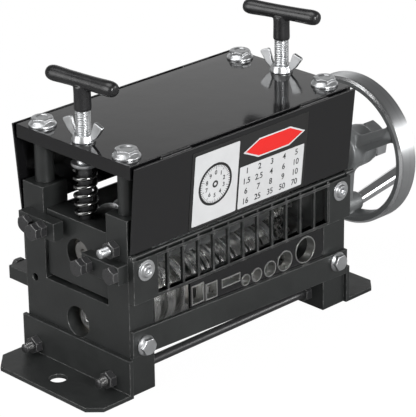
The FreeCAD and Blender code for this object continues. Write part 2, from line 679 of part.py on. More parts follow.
def top_bolts_and_posts():
    bolts = []
    posts = []
    for side in (LEFT, RIGHT):
        for face in (FRONT, REAR):
            name = f"{END_NAME[side]}_{FACE_NAME[face]}"
            along = f"{side} * {PLATE_MIDDLE}"
            across = f"{face} * {EAR_MIDDLE}"
            reach = "top_thickness + plate_gap + bolt_reach"
            bolts.append(flange_bolt(f"{name}_top_bolt", reach, (along, across, TOP_FACE), UPRIGHT))
            posts.append(tube(f"{name}_post", "post_radius", "bolt_radius + hole_clearance",
                              "plate_gap", (along, across, "plate_height")))
    register(group("top_bolts", bolts), "top_plate_bolts")
    register(group("posts", posts), "spacer_posts")


def tie_rods():
    rods = []
    nuts = []
    length = "frame_span + 2 * tie_overhang"
    start = f"-({PLATE_OUTER} + tie_overhang)"
    for name, across in (("front", f"-{TIE_FRONT}"), ("rear", TIE_REAR)):
        rods.append(cylinder(f"{name}_tie_rod", "screw_radius", length,
                             (start, across, "tie_height"), TO_RIGHT))
        for side in (LEFT, RIGHT):
            outer = (f"{side} * {FLANGE_INNER}", across, "tie_height")
            inner = (f"{side} * {PLATE_INNER}", across, "tie_height")
            nut = f"{name}_{END_NAME[side]}_tie"
            nuts.append(screw_nut(f"{nut}_outer", outer, OUTWARD[side]))
            nuts.append(screw_nut(f"{nut}_inner", inner, OUTWARD[-side]))
    register(group("tie_rod_pair", rods), "tie_rods")
    register(group("tie_nuts", nuts), "tie_rod_nuts")


def foot(side):
    """L bracket: an upright leg against the end plate and a flange on the bench."""
    body = new_body(f"{END_NAME[side]}_bracket")
    profile = new_sketch(body, "XZ", "-foot_length / 2")
    inner = f"{side} * {PLATE_OUTER}"
    leg = f"{side} * {FLANGE_INNER}"
    outer = f"{side} * ({PLATE_OUTER} + foot_reach)"
    outline(profile, (
        (inner, 0),
        (outer, 0),
        (outer, "foot_thickness"),
        (leg, "foot_thickness"),
        (leg, "foot_height"),
        (inner, "foot_height"),
    ))
    pad(body, profile, "foot_length")

    flange = new_sketch(body, "XY", "foot_thickness")
    for face in (FRONT, REAR):
        cut_corner = f"foot_{FACE_NAME[face]}_corner"
        corner = f"{side} * ({PLATE_OUTER} + foot_reach - {cut_corner})"
        edge = f"{face} * foot_length / 2"
        shoulder = f"{face} * (foot_length / 2 - {cut_corner})"
        outline(flange, ((corner, edge), (outer, edge), (outer, shoulder)))
    circle(flange, f"{side} * ({PLATE_OUTER} + foot_hole_inset)", 0, "foot_hole_radius")
    pocket(body, flange, "foot_thickness")

    leg_face = new_sketch(body, "YZ", leg)
    circle(leg_face, f"-{TIE_FRONT}", "tie_height", "screw_radius + hole_clearance")
    circle(leg_face, TIE_REAR, "tie_height", "screw_radius + hole_clearance")
    pocket(body, leg_face, "foot_thickness", along_normal=side == LEFT)
    register(body, f"{END_NAME[side]}_foot")


def front_bar():
    """Flat bar across the front, lower at its right end."""
    body = new_body("front_strip")
    face = new_sketch(body, "XZ", FRONT_FACE)
    half = "front_bar_width / 2"
    outline(face, (
        (f"-{PLATE_OUTER}", f"front_bar_left - {half}"),
        (PLATE_OUTER, f"front_bar_right - {half}"),
        (PLATE_OUTER, f"front_bar_right + {half}"),
        (f"-{PLATE_OUTER}", f"front_bar_left + {half}"),
    ))
    for side in (LEFT, RIGHT):
        circle(face, f"{side} * {PLATE_MIDDLE}", "front_bolt_height", "screw_radius + hole_clearance")
    pad(body, face, "front_bar_thickness")
    register(body, "front_bar")

    bolts = []
    for side in (LEFT, RIGHT):
        seat = (f"{side} * {PLATE_MIDDLE}", f"-({FRONT_FACE} + front_bar_thickness)",
                "front_bolt_height")
        reach = "front_bar_thickness + screw_reach"
        bolts.append(small_flange_screw(f"{END_NAME[side]}_front_bolt", reach, seat, TO_FRONT))
    register(group("front_bolts", bolts), "front_bar_bolts")


def rear_screw(name, side, depth, level):
    """A screw through a piece of the given depth on an end plate's rear face."""
    seat = (f"{side} * {PLATE_MIDDLE}", f"{FRONT_FACE} + {depth}", level)
    return hex_screw(f"{END_NAME[side]}_{name}", f"{depth} + screw_reach", seat, TO_REAR)


def rear_bar():
    body = new_body("rear_strip")
    face = new_sketch(body, "XZ", f"-({FRONT_FACE} + rear_bar_depth)")
    half = "rear_bar_height / 2"
    rectangle(face, f"-{PLATE_OUTER}", PLATE_OUTER, f"rear_bar_level - {half}",
              f"rear_bar_level + {half}")
    for side in (LEFT, RIGHT):
        circle(face, f"{side} * {PLATE_MIDDLE}", "rear_bar_level", "screw_radius + hole_clearance")
    pad(body, face, "rear_bar_depth")
    register(body, "rear_guide_bar")
    return [rear_screw("rear_bar_screw", side, "rear_bar_depth", "rear_bar_level")
            for side in (LEFT, RIGHT)]


def rear_guard():
    """Sheet that closes the rear between the slit for the wires and the rear cover."""
    body = new_body("guard_sheet")
    face = new_sketch(body, "XZ", f"-({FRONT_FACE} + guard_thickness)")
    rectangle(face, f"-{PLATE_OUTER}", PLATE_OUTER, "guard_bottom", "guard_top")
    for side in (LEFT, RIGHT):
        circle(face, f"{side} * {PLATE_MIDDLE}", "guard_screw_height",
               "screw_radius + hole_clearance")
    pad(body, face, "guard_thickness")
    register(body, "rear_guard")
    return [rear_screw("guard_screw", side, "guard_thickness", "guard_screw_height")
            for side in (LEFT, RIGHT)]


def guide_comb():
    """Frame with slots for the dividers, bolted to the front of the end plates."""
    body = new_body("comb")
    face = new_sketch(body, "XZ", FRONT_FACE)
    rectangle(face, f"-{PLATE_OUTER}", PLATE_OUTER, "comb_bottom", "comb_top")
    rectangle(face, f"-{PLATE_INNER}", PLATE_INNER, "comb_bottom + rail_height",
              "comb_top - rail_height")
    for side in (LEFT, RIGHT):
        circle(face, f"{side} * {PLATE_MIDDLE}", "comb_bolt_height", "screw_radius + hole_clearance")
    pad(body, face, "comb_depth")
    slots = new_sketch(body, "XY", "comb_top")
    half = "(divider_thickness / 2 + seat_clearance)"
    tab_front = f"({FRONT_FACE} + comb_depth - tab_inset)"
    rectangle(slots, f"{divider_place(0)} - {half}", f"{divider_place(0)} + {half}",
              f"-({tab_front} + seat_clearance)", f"-({tab_front} - divider_tab - seat_clearance)")
    slot = pocket(body, slots, "comb_top - comb_bottom")
    pattern = body.newObject("PartDesign::LinearPattern", "comb_slots")
    pattern.Originals = [slot]
    pattern.Direction = (slots, ["H_Axis"])
    pattern.Occurrences = DIVIDERS
    pattern.setExpression("Occurrences", linked("dividers"))
    set_size(pattern, "Length", "(dividers - 1) * channel_pitch")
    body.Tip = pattern

    lugs = []
    rod_place = f"-({FRONT_FACE} + rod_stand_off)"
    for side in (LEFT, RIGHT):
        start = low(side, f"{PLATE_OUTER} - lug_length", PLATE_OUTER)
        lugs.append(cylinder(f"{END_NAME[side]}_lug", "lug_radius", "lug_length",
                             (start, rod_place, ROD_LEVEL), TO_RIGHT))
    bore = cylinder("rod_bore", "rod_radius + seat_clearance", "frame_span",
                    (f"-{PLATE_OUTER}", rod_place, ROD_LEVEL), TO_RIGHT)
    register(cut("comb_frame", fuse("comb_with_lugs", [body] + lugs), bore), "guide_comb_frame")

    dividers = []
    for step in range(DIVIDERS):
        left = f"{divider_place(step)} - divider_thickness / 2"
        web = box(f"web_{step + 1}", "divider_thickness",
                  "divider_depth",
                  "comb_top - comb_bottom - 2 * rail_height - 2 * seat_clearance",
                  (left, f"-({FRONT_FACE} + comb_depth)", "comb_bottom + rail_height + seat_clearance"))
        tab = box(f"tab_{step + 1}", "divider_thickness", "divider_tab",
                  "comb_top - comb_bottom + tab_proud",
                  (left, f"-{tab_front}", "comb_bottom"))
        dividers.append(fuse(f"divider_{step + 1}", [web, tab]))
    register(group("dividers", dividers), "guide_comb_dividers")

    bolts = []
    for side in (LEFT, RIGHT):
        seat = (f"{side} * {PLATE_MIDDLE}", f"-({FRONT_FACE} + comb_depth)", "comb_bolt_height")
        bolts.append(button_screw(f"{END_NAME[side]}_comb_bolt", "comb_depth + screw_reach", seat,
                                  TO_FRONT))
    register(group("comb_bolts", bolts), "guide_comb_bolts")

    rod = cylinder("rod", "rod_radius", "frame_span + rod_left_proud + rod_right_proud",
                   (f"-({PLATE_OUTER} + rod_left_proud)", rod_place, ROD_LEVEL), TO_RIGHT)
    register(rod, "latch_rod")


def guide_plate():
    """Thin plate behind the front bar with a sleeve for each wire size."""
    body = new_body("guide")
    face = new_sketch(body, "XZ", f"{FRONT_FACE} - guide_thickness")
    side_edge = f"({PLATE_INNER} - face_gap)"
    rectangle(face, f"-{side_edge}", side_edge, "guide_bottom", "comb_bottom - guide_top_gap")
    rectangle(face, f"window_edge - {side_edge}",
              "tall_guide_place - tall_guide_width / 2 - window_wall", "window_low",
              "comb_bottom - guide_top_gap - window_edge")
    for guide in FLAT_GUIDES:
        half = f"({guide}_guide_width / 2 + seat_clearance)"
        rise = f"({guide}_guide_height / 2 + seat_clearance)"
        rectangle(face, f"{guide}_guide_place - {half}", f"{guide}_guide_place + {half}",
                  f"{guide}_guide_level - {rise}", f"{guide}_guide_level + {rise}")
    for guide in ROUND_GUIDES:
        circle(face, f"{guide}_guide_place", f"{guide}_guide_level",
               f"{guide}_guide_bore / 2 + seat_clearance")
    pad(body, face, "guide_thickness")
    register(body, "hole_guide_plate")

    sleeves = []
    start = f"-({FRONT_FACE} + sleeve_proud)"
    for guide in FLAT_GUIDES:
        width = f"{guide}_guide_width"
        height = f"{guide}_guide_height"
        outside = box(f"{guide}_outside", width, "sleeve_length", height,
                      (f"{guide}_guide_place - {width} / 2", start,
                       f"{guide}_guide_level - {height} / 2"))
        inside = box(f"{guide}_inside", f"{width} - 2 * sleeve_wall", "sleeve_length",
                     f"{height} - 2 * sleeve_wall",
                     (f"{guide}_guide_place - {width} / 2 + sleeve_wall", start,
                      f"{guide}_guide_level - {height} / 2 + sleeve_wall"))
        sleeves.append(cut(f"{guide}_sleeve", outside, inside))
    for guide in ROUND_GUIDES:
        sleeves.append(tube(f"{guide}_sleeve", f"{guide}_guide_bore / 2",
                            f"{guide}_guide_bore / 2 - sleeve_wall", "sleeve_length",
                            (f"{guide}_guide_place", start, f"{guide}_guide_level"), TO_REAR))
    register(group("sleeves", sleeves), "guide_sleeves")


def lower_bushes():
    bushes = []
    for side in (LEFT, RIGHT):
        seat = (low(side, PLATE_INNER, f"{PLATE_INNER} + bush_length"), 0, "lower_axis")
        bushes.append(tube(f"{END_NAME[side]}_lower_bush", BUSH_RADIUS,
                           "shaft_radius + running_clearance", "bush_length", seat, TO_RIGHT))
    register(group("lower_bush_pair", bushes), "lower_bushes")


def block_retainers():
    """Bars on the outer faces that keep the blocks in their slots, with adjusting screws."""
    bars = []
    bolts = []
    screws = []
    lock_nuts = []
    for side in (LEFT, RIGHT):
        rows = (
            (FRONT, f"{setback(side)} - frame_depth / 2", "gib_length - frame_depth / 2",
             "front_gib_level", "front_screw_inset - frame_depth / 2", front_bolt_place(side)),
            (REAR, "frame_depth / 2 - rear_gib_inset - gib_length",
             "frame_depth / 2 - rear_gib_inset", "rear_gib_level",
             "frame_depth / 2 - rear_screw_inset", "frame_depth / 2 - rear_bolt_inset"),
        )
        for face, start, end, level, screw_place, bolt_place in rows:
            name = f"{END_NAME[side]}_{FACE_NAME[face]}"
            body = new_body(f"{name}_retainer")
            sketch = new_sketch(body, "YZ", low(side, PLATE_OUTER, GIB_OUTER))
            rectangle(sketch, start, end, f"{level} - gib_height / 2", f"{level} + gib_height / 2")
            circle(sketch, screw_place, level, "screw_radius + seat_clearance")
            circle(sketch, bolt_place, level, "screw_radius + hole_clearance")
            pad(body, sketch, "gib_thickness")
            bars.append(body)
            seat = f"{side} * {GIB_OUTER}"
            bolts.append(hex_screw(f"{name}_retainer_bolt", "gib_thickness + gib_bolt_reach",
                                   (seat, bolt_place, level), OUTWARD[side]))
            head_seat = f"({PLATE_OUTER} + screw_end - screw_head)"
            screws.append(hex_screw(f"{name}_adjuster", f"{head_seat} - {BLOCK_OUTER} - slide_clearance",
                                    (f"{side} * {head_seat}", screw_place, level), OUTWARD[side]))
            lock_nuts.append(screw_nut(f"{name}_lock", (seat, screw_place, level), OUTWARD[side]))
    register(group("retainers", bars), "block_retainers")
    register(group("adjuster_set", screws), "adjusting_screws")
    register(group("lock_nut_set", lock_nuts), "adjusting_lock_nuts")
    return bolts


def side_stud():
    """Stud with a nut on the outer face of the left end plate."""
    stem = cylinder("stud", "screw_radius", "stud_reach + stud_proud",
                    (f"-({PLATE_OUTER} + stud_proud)", STUD_Y, "stud_level"), TO_RIGHT)
    nut = screw_nut("stud_nut", (f"-{PLATE_OUTER}", STUD_Y, "stud_level"), TO_LEFT)
    register(group("stud_and_nut", [stem, nut]), "side_stud")


# ---------------------------------------------------------------- covers and their hinges

def frame_hinges(face):
    """Outer knuckles of two hinges, with leaves on the edge of the top plate, and the pins."""
    name = FACE_NAME[face]
    knuckle = "(hinge_length / 2 - knuckle_length / 2 - knuckle_gap)"
    knuckles = []
    pins = []
    for side in (LEFT, RIGHT):
        middle = f"{side} * hinge_offset"
        pins.append(cylinder(f"{name}_{END_NAME[side]}_pin", "pin_radius", "hinge_length",
                             (f"{middle} - hinge_length / 2", f"{face} * {HINGE_Y}", HINGE_Z), TO_RIGHT))
        for end in (LEFT, RIGHT):
            label = f"{name}_{END_NAME[side]}_{END_NAME[end]}"
            start = f"{middle} + " + low(end, f"hinge_length / 2 - {knuckle}", "hinge_length / 2")
            barrel = cylinder(f"{label}_barrel", "knuckle_radius", knuckle,
                              (start, f"{face} * {HINGE_Y}", HINGE_Z), TO_RIGHT)
            leaf = box(f"{label}_leaf", knuckle, "leaf_thickness", f"{HINGE_Z} - {TOP_UNDERSIDE}",
                       (start, low(face, TOP_EDGE, f"{TOP_EDGE} + leaf_thickness"), TOP_UNDERSIDE))
            bore = cylinder(f"{label}_bore", "pin_radius + seat_clearance", knuckle,
                            (start, f"{face} * {HINGE_Y}", HINGE_Z), TO_RIGHT)
            knuckles.append(cut(f"{label}_knuckle", fuse(f"{label}_solid", [barrel, leaf]), bore))
    register(group(f"{name}_frame_knuckles", knuckles), f"{name}_hinge_frame_leaves")
    register(group(f"{name}_pins", pins), f"{name}_hinge_pins")


def cover(face):
    """Sheet cover that hangs from two hinges and leans inwards; modelled about the hinge axis."""
    name = FACE_NAME[face]
    axis = (0, f"{face} * {HINGE_Y}", HINGE_Z)
    lean = Rotation(V(-face, 0, 0), value("cover_lean"))

    body = new_body(f"{name}_sheet")
    sketch = new_sketch(body, "XZ", COVER_INNER if face == FRONT else f"-{COVER_OUTER}")
    rectangle(sketch, f"-{PLATE_OUTER}", PLATE_OUTER, f"-{COVER_DROP}", "cover_lip")
    pad(body, sketch, "cover_thickness")
    register(place(body, axis, lean, "cover_lean"), f"{name}_cover")

    leaves = []
    for side in (LEFT, RIGHT):
        label = f"{name}_{END_NAME[side]}_cover"
        start = f"{side} * hinge_offset - knuckle_length / 2"
        barrel = cylinder(f"{label}_barrel", "knuckle_radius", "knuckle_length", (start, 0, 0), TO_RIGHT)
        leaf_low = low(face, f"{COVER_INNER} - cover_leaf_thickness", COVER_INNER)
        leaf = box(f"{label}_leaf", "knuckle_length", "cover_leaf_thickness", "cover_leaf_height",
                   (start, leaf_low, "-cover_leaf_height"))
        bore = cylinder(f"{label}_bore", "pin_radius + pin_clearance", "knuckle_length",
                        (start, 0, 0), TO_RIGHT)
        leaves.append(cut(f"{label}_knuckle", fuse(f"{label}_solid", [barrel, leaf]), bore))
    pair = place(group(f"{name}_leaves", leaves), axis, lean, "cover_lean")
    register(pair, f"{name}_hinge_cover_leaves")


def cover_label():
    """Thin plate on the front cover."""
    plate = box("label", "label_left + label_right", "label_thickness", "label_height",
                ("-label_left", f"-({COVER_OUTER} + label_thickness)", f"label_low - {COVER_DROP}"))
    lean = Rotation(V(1, 0, 0), value("cover_lean"))
    placed = place(group("label_on_cover", [plate]), (0, f"-{HINGE_Y}", HINGE_Z), lean, "cover_lean")
    register(placed, "front_label")


# ---------------------------------------------------------------- upper carriage

def bearing_block(side):
    """Block that slides in the end plate's slot, bored for the bush and for the screw's tip."""
    body = new_body(f"{END_NAME[side]}_block")
    face = new_sketch(body, "YZ", low(side, BLOCK_INNER, BLOCK_OUTER))
    half = f"({SLOT_HALF} - slide_clearance)"
    rectangle(face, f"-{half}", half, "block_bottom", BLOCK_TOP)
    circle(face, 0, UPPER_AXIS, f"{BUSH_RADIUS} + seat_clearance")
    pad(body, face, "plate_thickness - 2 * block_inset")
    top = new_sketch(body, "XY", BLOCK_TOP)
    circle(top, f"{side} * {PLATE_MIDDLE}", 0, "press_tip_radius + slide_clearance")
    pocket(body, top, "press_tip_depth + lift_travel + slide_clearance")
    register(body, f"{END_NAME[side]}_bearing_block")


def upper_bushes():
    bushes = []
    for side in (LEFT, RIGHT):
        seat = (low(side, BLOCK_INNER, f"{BLOCK_INNER} + bush_length"), 0, UPPER_AXIS)
        bushes.append(tube(f"{END_NAME[side]}_upper_bush", BUSH_RADIUS,
                           "shaft_radius + running_clearance", "bush_length", seat, TO_RIGHT))
    register(group("upper_bush_pair", bushes), "upper_bushes")


def pressure_spring(side):
    """Coil with ground ends between the bearing block and the screw's collar."""
    name = f"{END_NAME[side]}_coil"
    height = f"({COLLAR_FOOT} - {BLOCK_TOP} - spring_gap)"
    start = "spring_wire / 4"
    body = new_body(name)
    section = new_sketch(body, "XZ")
    circle(section, "spring_radius", start, "spring_wire / 2")
    helix = body.newObject("PartDesign::AdditiveHelix", f"{name}_helix")
    helix.Profile = section
    helix.ReferenceAxis = (section, ["V_Axis"])
    helix.Mode = 0
    rise = f"({height} - spring_wire / 2)"
    set_size(helix, "Height", rise)
    set_size(helix, "Pitch", f"{rise} / spring_turns")
    slab = cylinder(f"{name}_ends", "spring_radius + spring_wire", height)
    spring = common(f"{name}_ground", body, slab)
    at = (f"{side} * {PLATE_MIDDLE}", 0, BLOCK_TOP)
    register(place(spring, at), f"{END_NAME[side]}_pressure_spring")


# ---------------------------------------------------------------- shafts and what they carry

def key_slot(name, level, start, end):
    """The space of a key with its clearance, above the shaft's axis."""
    return box(name, f"{end} - {start}", "key_width + 2 * seat_clearance",
               "key_depth + key_rise + 2 * seat_clearance",
               (start, "-(key_width / 2 + seat_clearance)",
                f"{level} + shaft_radius - key_depth - seat_clearance"))


def key(name, level, start, end):
    return box(name, f"{end} - {start} - 2 * seat_clearance", "key_width", "key_depth + key_rise",
               (f"{start} + seat_clearance", "-key_width / 2",
                f"{level} + shaft_radius - key_depth"))


def shaft_end(face, direction):
    """Corners of a chamfered, centre-drilled shaft end, from the outside to the axis."""
    inward = "-" if direction > 0 else "+"
    return [
        (f"{face} {inward} shaft_chamfer", "shaft_radius"),
        (face, "shaft_radius - shaft_chamfer"),
        (face, "centre_radius"),
        (f"{face} {inward} centre_depth", 0),
    ]


def upper_shaft():
    start = f"-({BLOCK_INNER} + bush_length + shaft_proud)"
    end = f"({NUT_SEAT} + hub_nut_height + thread_proud)"
    shoulder = f"({PLATE_OUTER} + shoulder_start)"
    corners = list(reversed(shaft_end(start, LEFT)))
    corners += [(shoulder, "shaft_radius"), (shoulder, "shoulder_radius"),
                (HUB_START, "shoulder_radius"), (HUB_START, "shaft_radius")]
    corners += shaft_end(end, RIGHT)
    shaft = turned_body("upper_bar", corners, (0, 0, UPPER_AXIS))
    slots = group("upper_slots", [
        key_slot("long_key_slot", UPPER_AXIS, STACK_START, GEAR_END),
        key_slot("wheel_key_slot", UPPER_AXIS, HUB_START, HUB_END),
    ])
    register(cut("upper_shaft_solid", shaft, slots), "upper_shaft")
    register(group("upper_keys", [
        key("long_key", UPPER_AXIS, STACK_START, GEAR_END),
        key("wheel_key", UPPER_AXIS, HUB_START, HUB_END),
    ]), "upper_shaft_keys")


def lower_shaft():
    start = f"-({PLATE_INNER} + bush_length + shaft_proud)"
    end = f"({PLATE_INNER} + bush_length + shaft_proud)"
    corners = list(reversed(shaft_end(start, LEFT))) + shaft_end(end, RIGHT)
    shaft = turned_body("lower_bar", corners, (0, 0, "lower_axis"))
    slot = key_slot("lower_key_slot", "lower_axis", STACK_START, GEAR_END)
    register(cut("lower_shaft_solid", shaft, slot), "lower_shaft")
    register(key("lower_key", "lower_axis", STACK_START, GEAR_END), "lower_shaft_key")


def cutting_blades():
    """Sharpened discs over the middle of each channel, keyed to the upper shaft."""
    bore = "shaft_radius + seat_clearance"
    half = "blade_thickness / 2"
    discs = []
    for step in range(BLADES):
        corners = (
            (f"-{half}", bore),
            (half, bore),
            (half, "blade_radius - blade_bevel"),
            ("blade_edge / 2", "blade_radius"),
            ("-blade_edge / 2", "blade_radius"),
            (f"-{half}", "blade_radius - blade_bevel"),
        )
        discs.append(turned_body(f"disc_{step + 1}", corners, (channel_place(step), 0, UPPER_AXIS)))
    slot = key_slot("blade_key_slot", UPPER_AXIS, STACK_START, GEAR_END)
    register(cut("blades", group("discs", discs), slot), "cutting_blades")


def blade_spacers():
    """Rings that space the discs, the gear and the bearing block along the upper shaft."""
    half = "blade_thickness / 2"
    stretches = [(f"(-{BLOCK_INNER} + slide_clearance)", f"({channel_place(0)} - {half})")]
    for step in range(BLADES - 1):
        stretches.append((f"({channel_place(step)} + {half})", f"({channel_place(step + 1)} - {half})"))
    stretches.append((f"({channel_place(BLADES - 1)} + {half})", GEAR_START))
    stretches.append((GEAR_END, f"({BLOCK_INNER} - slide_clearance)"))
    rings = []
    for step, (start, end) in enumerate(stretches):
        rings.append(tube(f"ring_{step + 1}", "spacer_radius", "shaft_radius + seat_clearance",
                          f"{end} - {start} - 2 * face_gap", (f"{start} + face_gap", 0, UPPER_AXIS),
                          TO_RIGHT))
    slot = key_slot("spacer_key_slot", UPPER_AXIS, STACK_START, GEAR_END)
    register(cut("spacers", group("rings", rings), slot), "blade_spacers")


def feed_rollers():
    """Knurled rollers for thin wires, then rollers with ever deeper grooves."""
    bore = "shaft_radius + seat_clearance"
    hub_half = "(channel_pitch / 2 - face_gap / 2)"
    rollers = []
    for step in range(BLADES):
        grooved = step >= KNURLED
        half = "roller_width / 2" if grooved else "knurled_width / 2"
        radius = "roller_radius" if grooved else "knurled_radius"
        corners = [
            (f"-{hub_half}", bore),
            (hub_half, bore),
            (hub_half, "hub_radius"),
            (half, "hub_radius"),
            (half, radius),
        ]
        if grooved:
            depth = f"(groove_first + {step - KNURLED} * groove_step)"
            reach = f"({depth} * tan(groove_angle))"
            corners += [(reach, radius), (0, f"{radius} - {depth}"), (f"-{reach}", radius)]
        corners += [(f"-{half}", radius), (f"-{half}", "hub_radius"), (f"-{hub_half}", "hub_radius")]
        rollers.append(turned_body(f"roller_{step + 1}", corners, (channel_place(step), 0, "lower_axis")))
    slot = key_slot("roller_key_slot", "lower_axis", STACK_START, GEAR_END)
    register(cut("rollers", group("roller_row", rollers), slot), "feed_rollers")

    left_end = f"({channel_place(0)} - channel_pitch / 2)"
    right_end = f"({channel_place(BLADES - 1)} + channel_pitch / 2)"
    stretches = ((STACK_START, left_end), (right_end, GEAR_START))
    collars = []
    for step, (start, end) in enumerate(stretches):
        collars.append(tube(f"collar_{step + 1}", "hub_radius", bore, f"{end} - {start} - face_gap",
                            (f"{start} + face_gap / 2", 0, "lower_axis"), TO_RIGHT))
    slot = key_slot("collar_key_slot", "lower_axis", STACK_START, GEAR_END)
    register(cut("collars", group("collar_row", collars), slot), "lower_shaft_collars")


def involute_gear(phase):
    """A spur gear about the X axis with involute flanks, a tooth's middle at the phase angle."""
    teeth = GEAR_TEETH
    module = SHAFT_SPACING / teeth
    pressure = math.radians(GEAR_PRESSURE_ANGLE)
    pitch_radius = module * teeth / 2
    base_radius = pitch_radius * math.cos(pressure)
    tip_radius = pitch_radius + module
    root_radius = pitch_radius - 1.25 * module
    half_tooth = math.pi / (2 * teeth) - GEAR_BACKLASH / (4 * pitch_radius)
    half_base = half_tooth + math.tan(pressure) - pressure

    def on_circle(radius, angle):
        return V(0, radius * math.cos(angle), radius * math.sin(angle))

    def flank_angle(radius):
        roll = math.sqrt(max((radius / base_radius) ** 2 - 1, 0))
        return half_base - (roll - math.atan(roll))

    flank_start = max(base_radius, root_radius)
    radii = [flank_start + (tip_radius - flank_start) * step / 6 for step in range(7)]
    edges = []
    for tooth in range(teeth):
        middle = math.radians(phase) + 2 * math.pi * tooth / teeth
        after = middle + 2 * math.pi / teeth
        rising = [on_circle(radius, middle - flank_angle(radius)) for radius in radii]
        falling = [on_circle(radius, middle + flank_angle(radius)) for radius in reversed(radii)]
        root_out = on_circle(root_radius, middle + half_base)
        root_in = on_circle(root_radius, after - half_base)
        next_start = on_circle(flank_start, after - flank_angle(flank_start))
        up = Part.BSplineCurve()
        up.interpolate(rising)
        down = Part.BSplineCurve()
        down.interpolate(falling)
        tip = on_circle(tip_radius, middle)
        root = on_circle(root_radius, middle + math.pi / teeth)
        edges += [
            up.toShape(),
            Part.Arc(rising[-1], tip, falling[0]).toShape(),
            down.toShape(),
            Part.makeLine(falling[-1], root_out),
            Part.Arc(root_out, root, root_in).toShape(),
            Part.makeLine(root_in, next_start),
        ]
    wheel = Part.Face(Part.Wire(edges)).extrude(V(GEAR_WIDTH, 0, 0))
    bore = Part.makeCylinder(SHAFT_RADIUS + SEAT_CLEARANCE, GEAR_WIDTH, V(0, 0, 0), V(1, 0, 0))
    return wheel.cut(bore)


def drive_gears():
    """Two equal gears in mesh: a tooth of the upper one points down into a gap of the lower."""
    half_pitch = 180 / GEAR_TEETH
    for name, phase, level in (("upper", -90, UPPER_AXIS), ("lower", 90 + half_pitch, "lower_axis")):
        gear = doc.addObject("Part::Feature", f"{name}_gear_wheel")
        gear.Shape = involute_gear(phase)
        place(gear, (GEAR_START, 0, level))
        slot = key_slot(f"{name}_gear_slot", level, STACK_START, f"({GEAR_END} + face_gap)")
        register(cut(f"{name}_gear_solid", gear, slot), f"{name}_gear")


def handwheel():
    """Rim with three ridged spokes on a hub, keyed to the shaft's end, with a crank boss."""
    body = new_body("rim")
    section = new_sketch(body, "XZ")
    inner = "(wheel_radius - rim_wall)"
    outline(section, ((RIM_START, inner), (RIM_END, inner), (RIM_END, "wheel_radius"),
                      (RIM_START, "wheel_radius")))
    ring = revolution(body, section)
    rounding = body.newObject("PartDesign::Fillet", "rim_fillet")
    rounding.Base = (ring, [])
    rounding.UseAllEdges = True
    set_size(rounding, "Radius", "rim_rounding")
    body.Tip = rounding
    place(body, (0, 0, UPPER_AXIS))

    hub = cylinder("hub", "wheel_hub_radius", "hub_length", (HUB_START, 0, UPPER_AXIS), TO_RIGHT)
    face = f"({HUB_END} - spoke_offset)"
    solids = [body, hub]
    for step in range(SPOKE_COUNT):
        spoke = new_body(f"spoke_{step + 1}")
        start = "(wheel_hub_radius - 2)"
        end = "(wheel_radius - rim_wall / 2)"
        sketch = new_sketch(spoke, "YZ")
        outline(sketch, ((start, "-spoke_root / 2"), (end, "-spoke_tip / 2"), (end, "spoke_tip / 2"),
                         (start, "spoke_root / 2")))
        pad(spoke, sketch, "spoke_thickness")
        ridge = new_sketch(spoke, "YZ", "-ridge_height")
        rectangle(ridge, start, end, "-ridge_width / 2", "ridge_width / 2")
        pad(spoke, ridge, "ridge_height + spoke_thickness / 2")
        angle = f"wheel_turn + {step} * 360 / spoke_count"
        turn = Rotation(V(1, 0, 0), value(angle))
        place(spoke, (f"{face} - spoke_thickness", 0, UPPER_AXIS), turn, angle)
        solids.append(spoke)
    boss_start = f"({face} - spoke_thickness - ridge_height)"
    boss = cylinder("crank_boss", "crank_boss_radius", f"{RIM_END} - {boss_start}",
                    (boss_start, CRANK_Y, CRANK_Z), TO_RIGHT)
    solids.append(boss)
    bore = cylinder("hub_bore", "shaft_radius + seat_clearance", "hub_length",
                    (HUB_START, 0, UPPER_AXIS), TO_RIGHT)
    keyway = key_slot("hub_keyway", UPPER_AXIS, HUB_START, HUB_END)
    stud_hole = cylinder("stud_hole", "crank_stud_radius + seat_clearance",
                         "crank_stud_seat + 2 * crank_stud_radius")
    along_crank(stud_hole, "-crank_stud_seat")
    wheel = cut("wheel", fuse("wheel_solid", solids), fuse("wheel_holes", [bore, keyway, stud_hole]))
    register(wheel, "handwheel")

    washer = tube("washer", "washer_radius", "shaft_radius + hole_clearance", "washer_thickness",
                  (HUB_END, 0, UPPER_AXIS), TO_RIGHT)
    register(washer, "hub_washer")
    nut = hex_nut("hub_hexagon", "hub_nut_hex", "hub_nut_height", "shaft_radius + seat_clearance",
                  (NUT_SEAT, 0, UPPER_AXIS), TO_RIGHT)
    register(nut, "hub_nut")


def along_crank(item, start):
    """Put an upright item on the crank's axis, that far outside the boss."""
    at = (f"{RIM_END} + ({start}) * cos(crank_lean)", CRANK_Y,
          f"{CRANK_Z} + ({start}) * sin(crank_lean)")
    return place(item, at, Rotation(V(0, 1, 0), 90 - CRANK_LEAN), "90 - crank_lean")


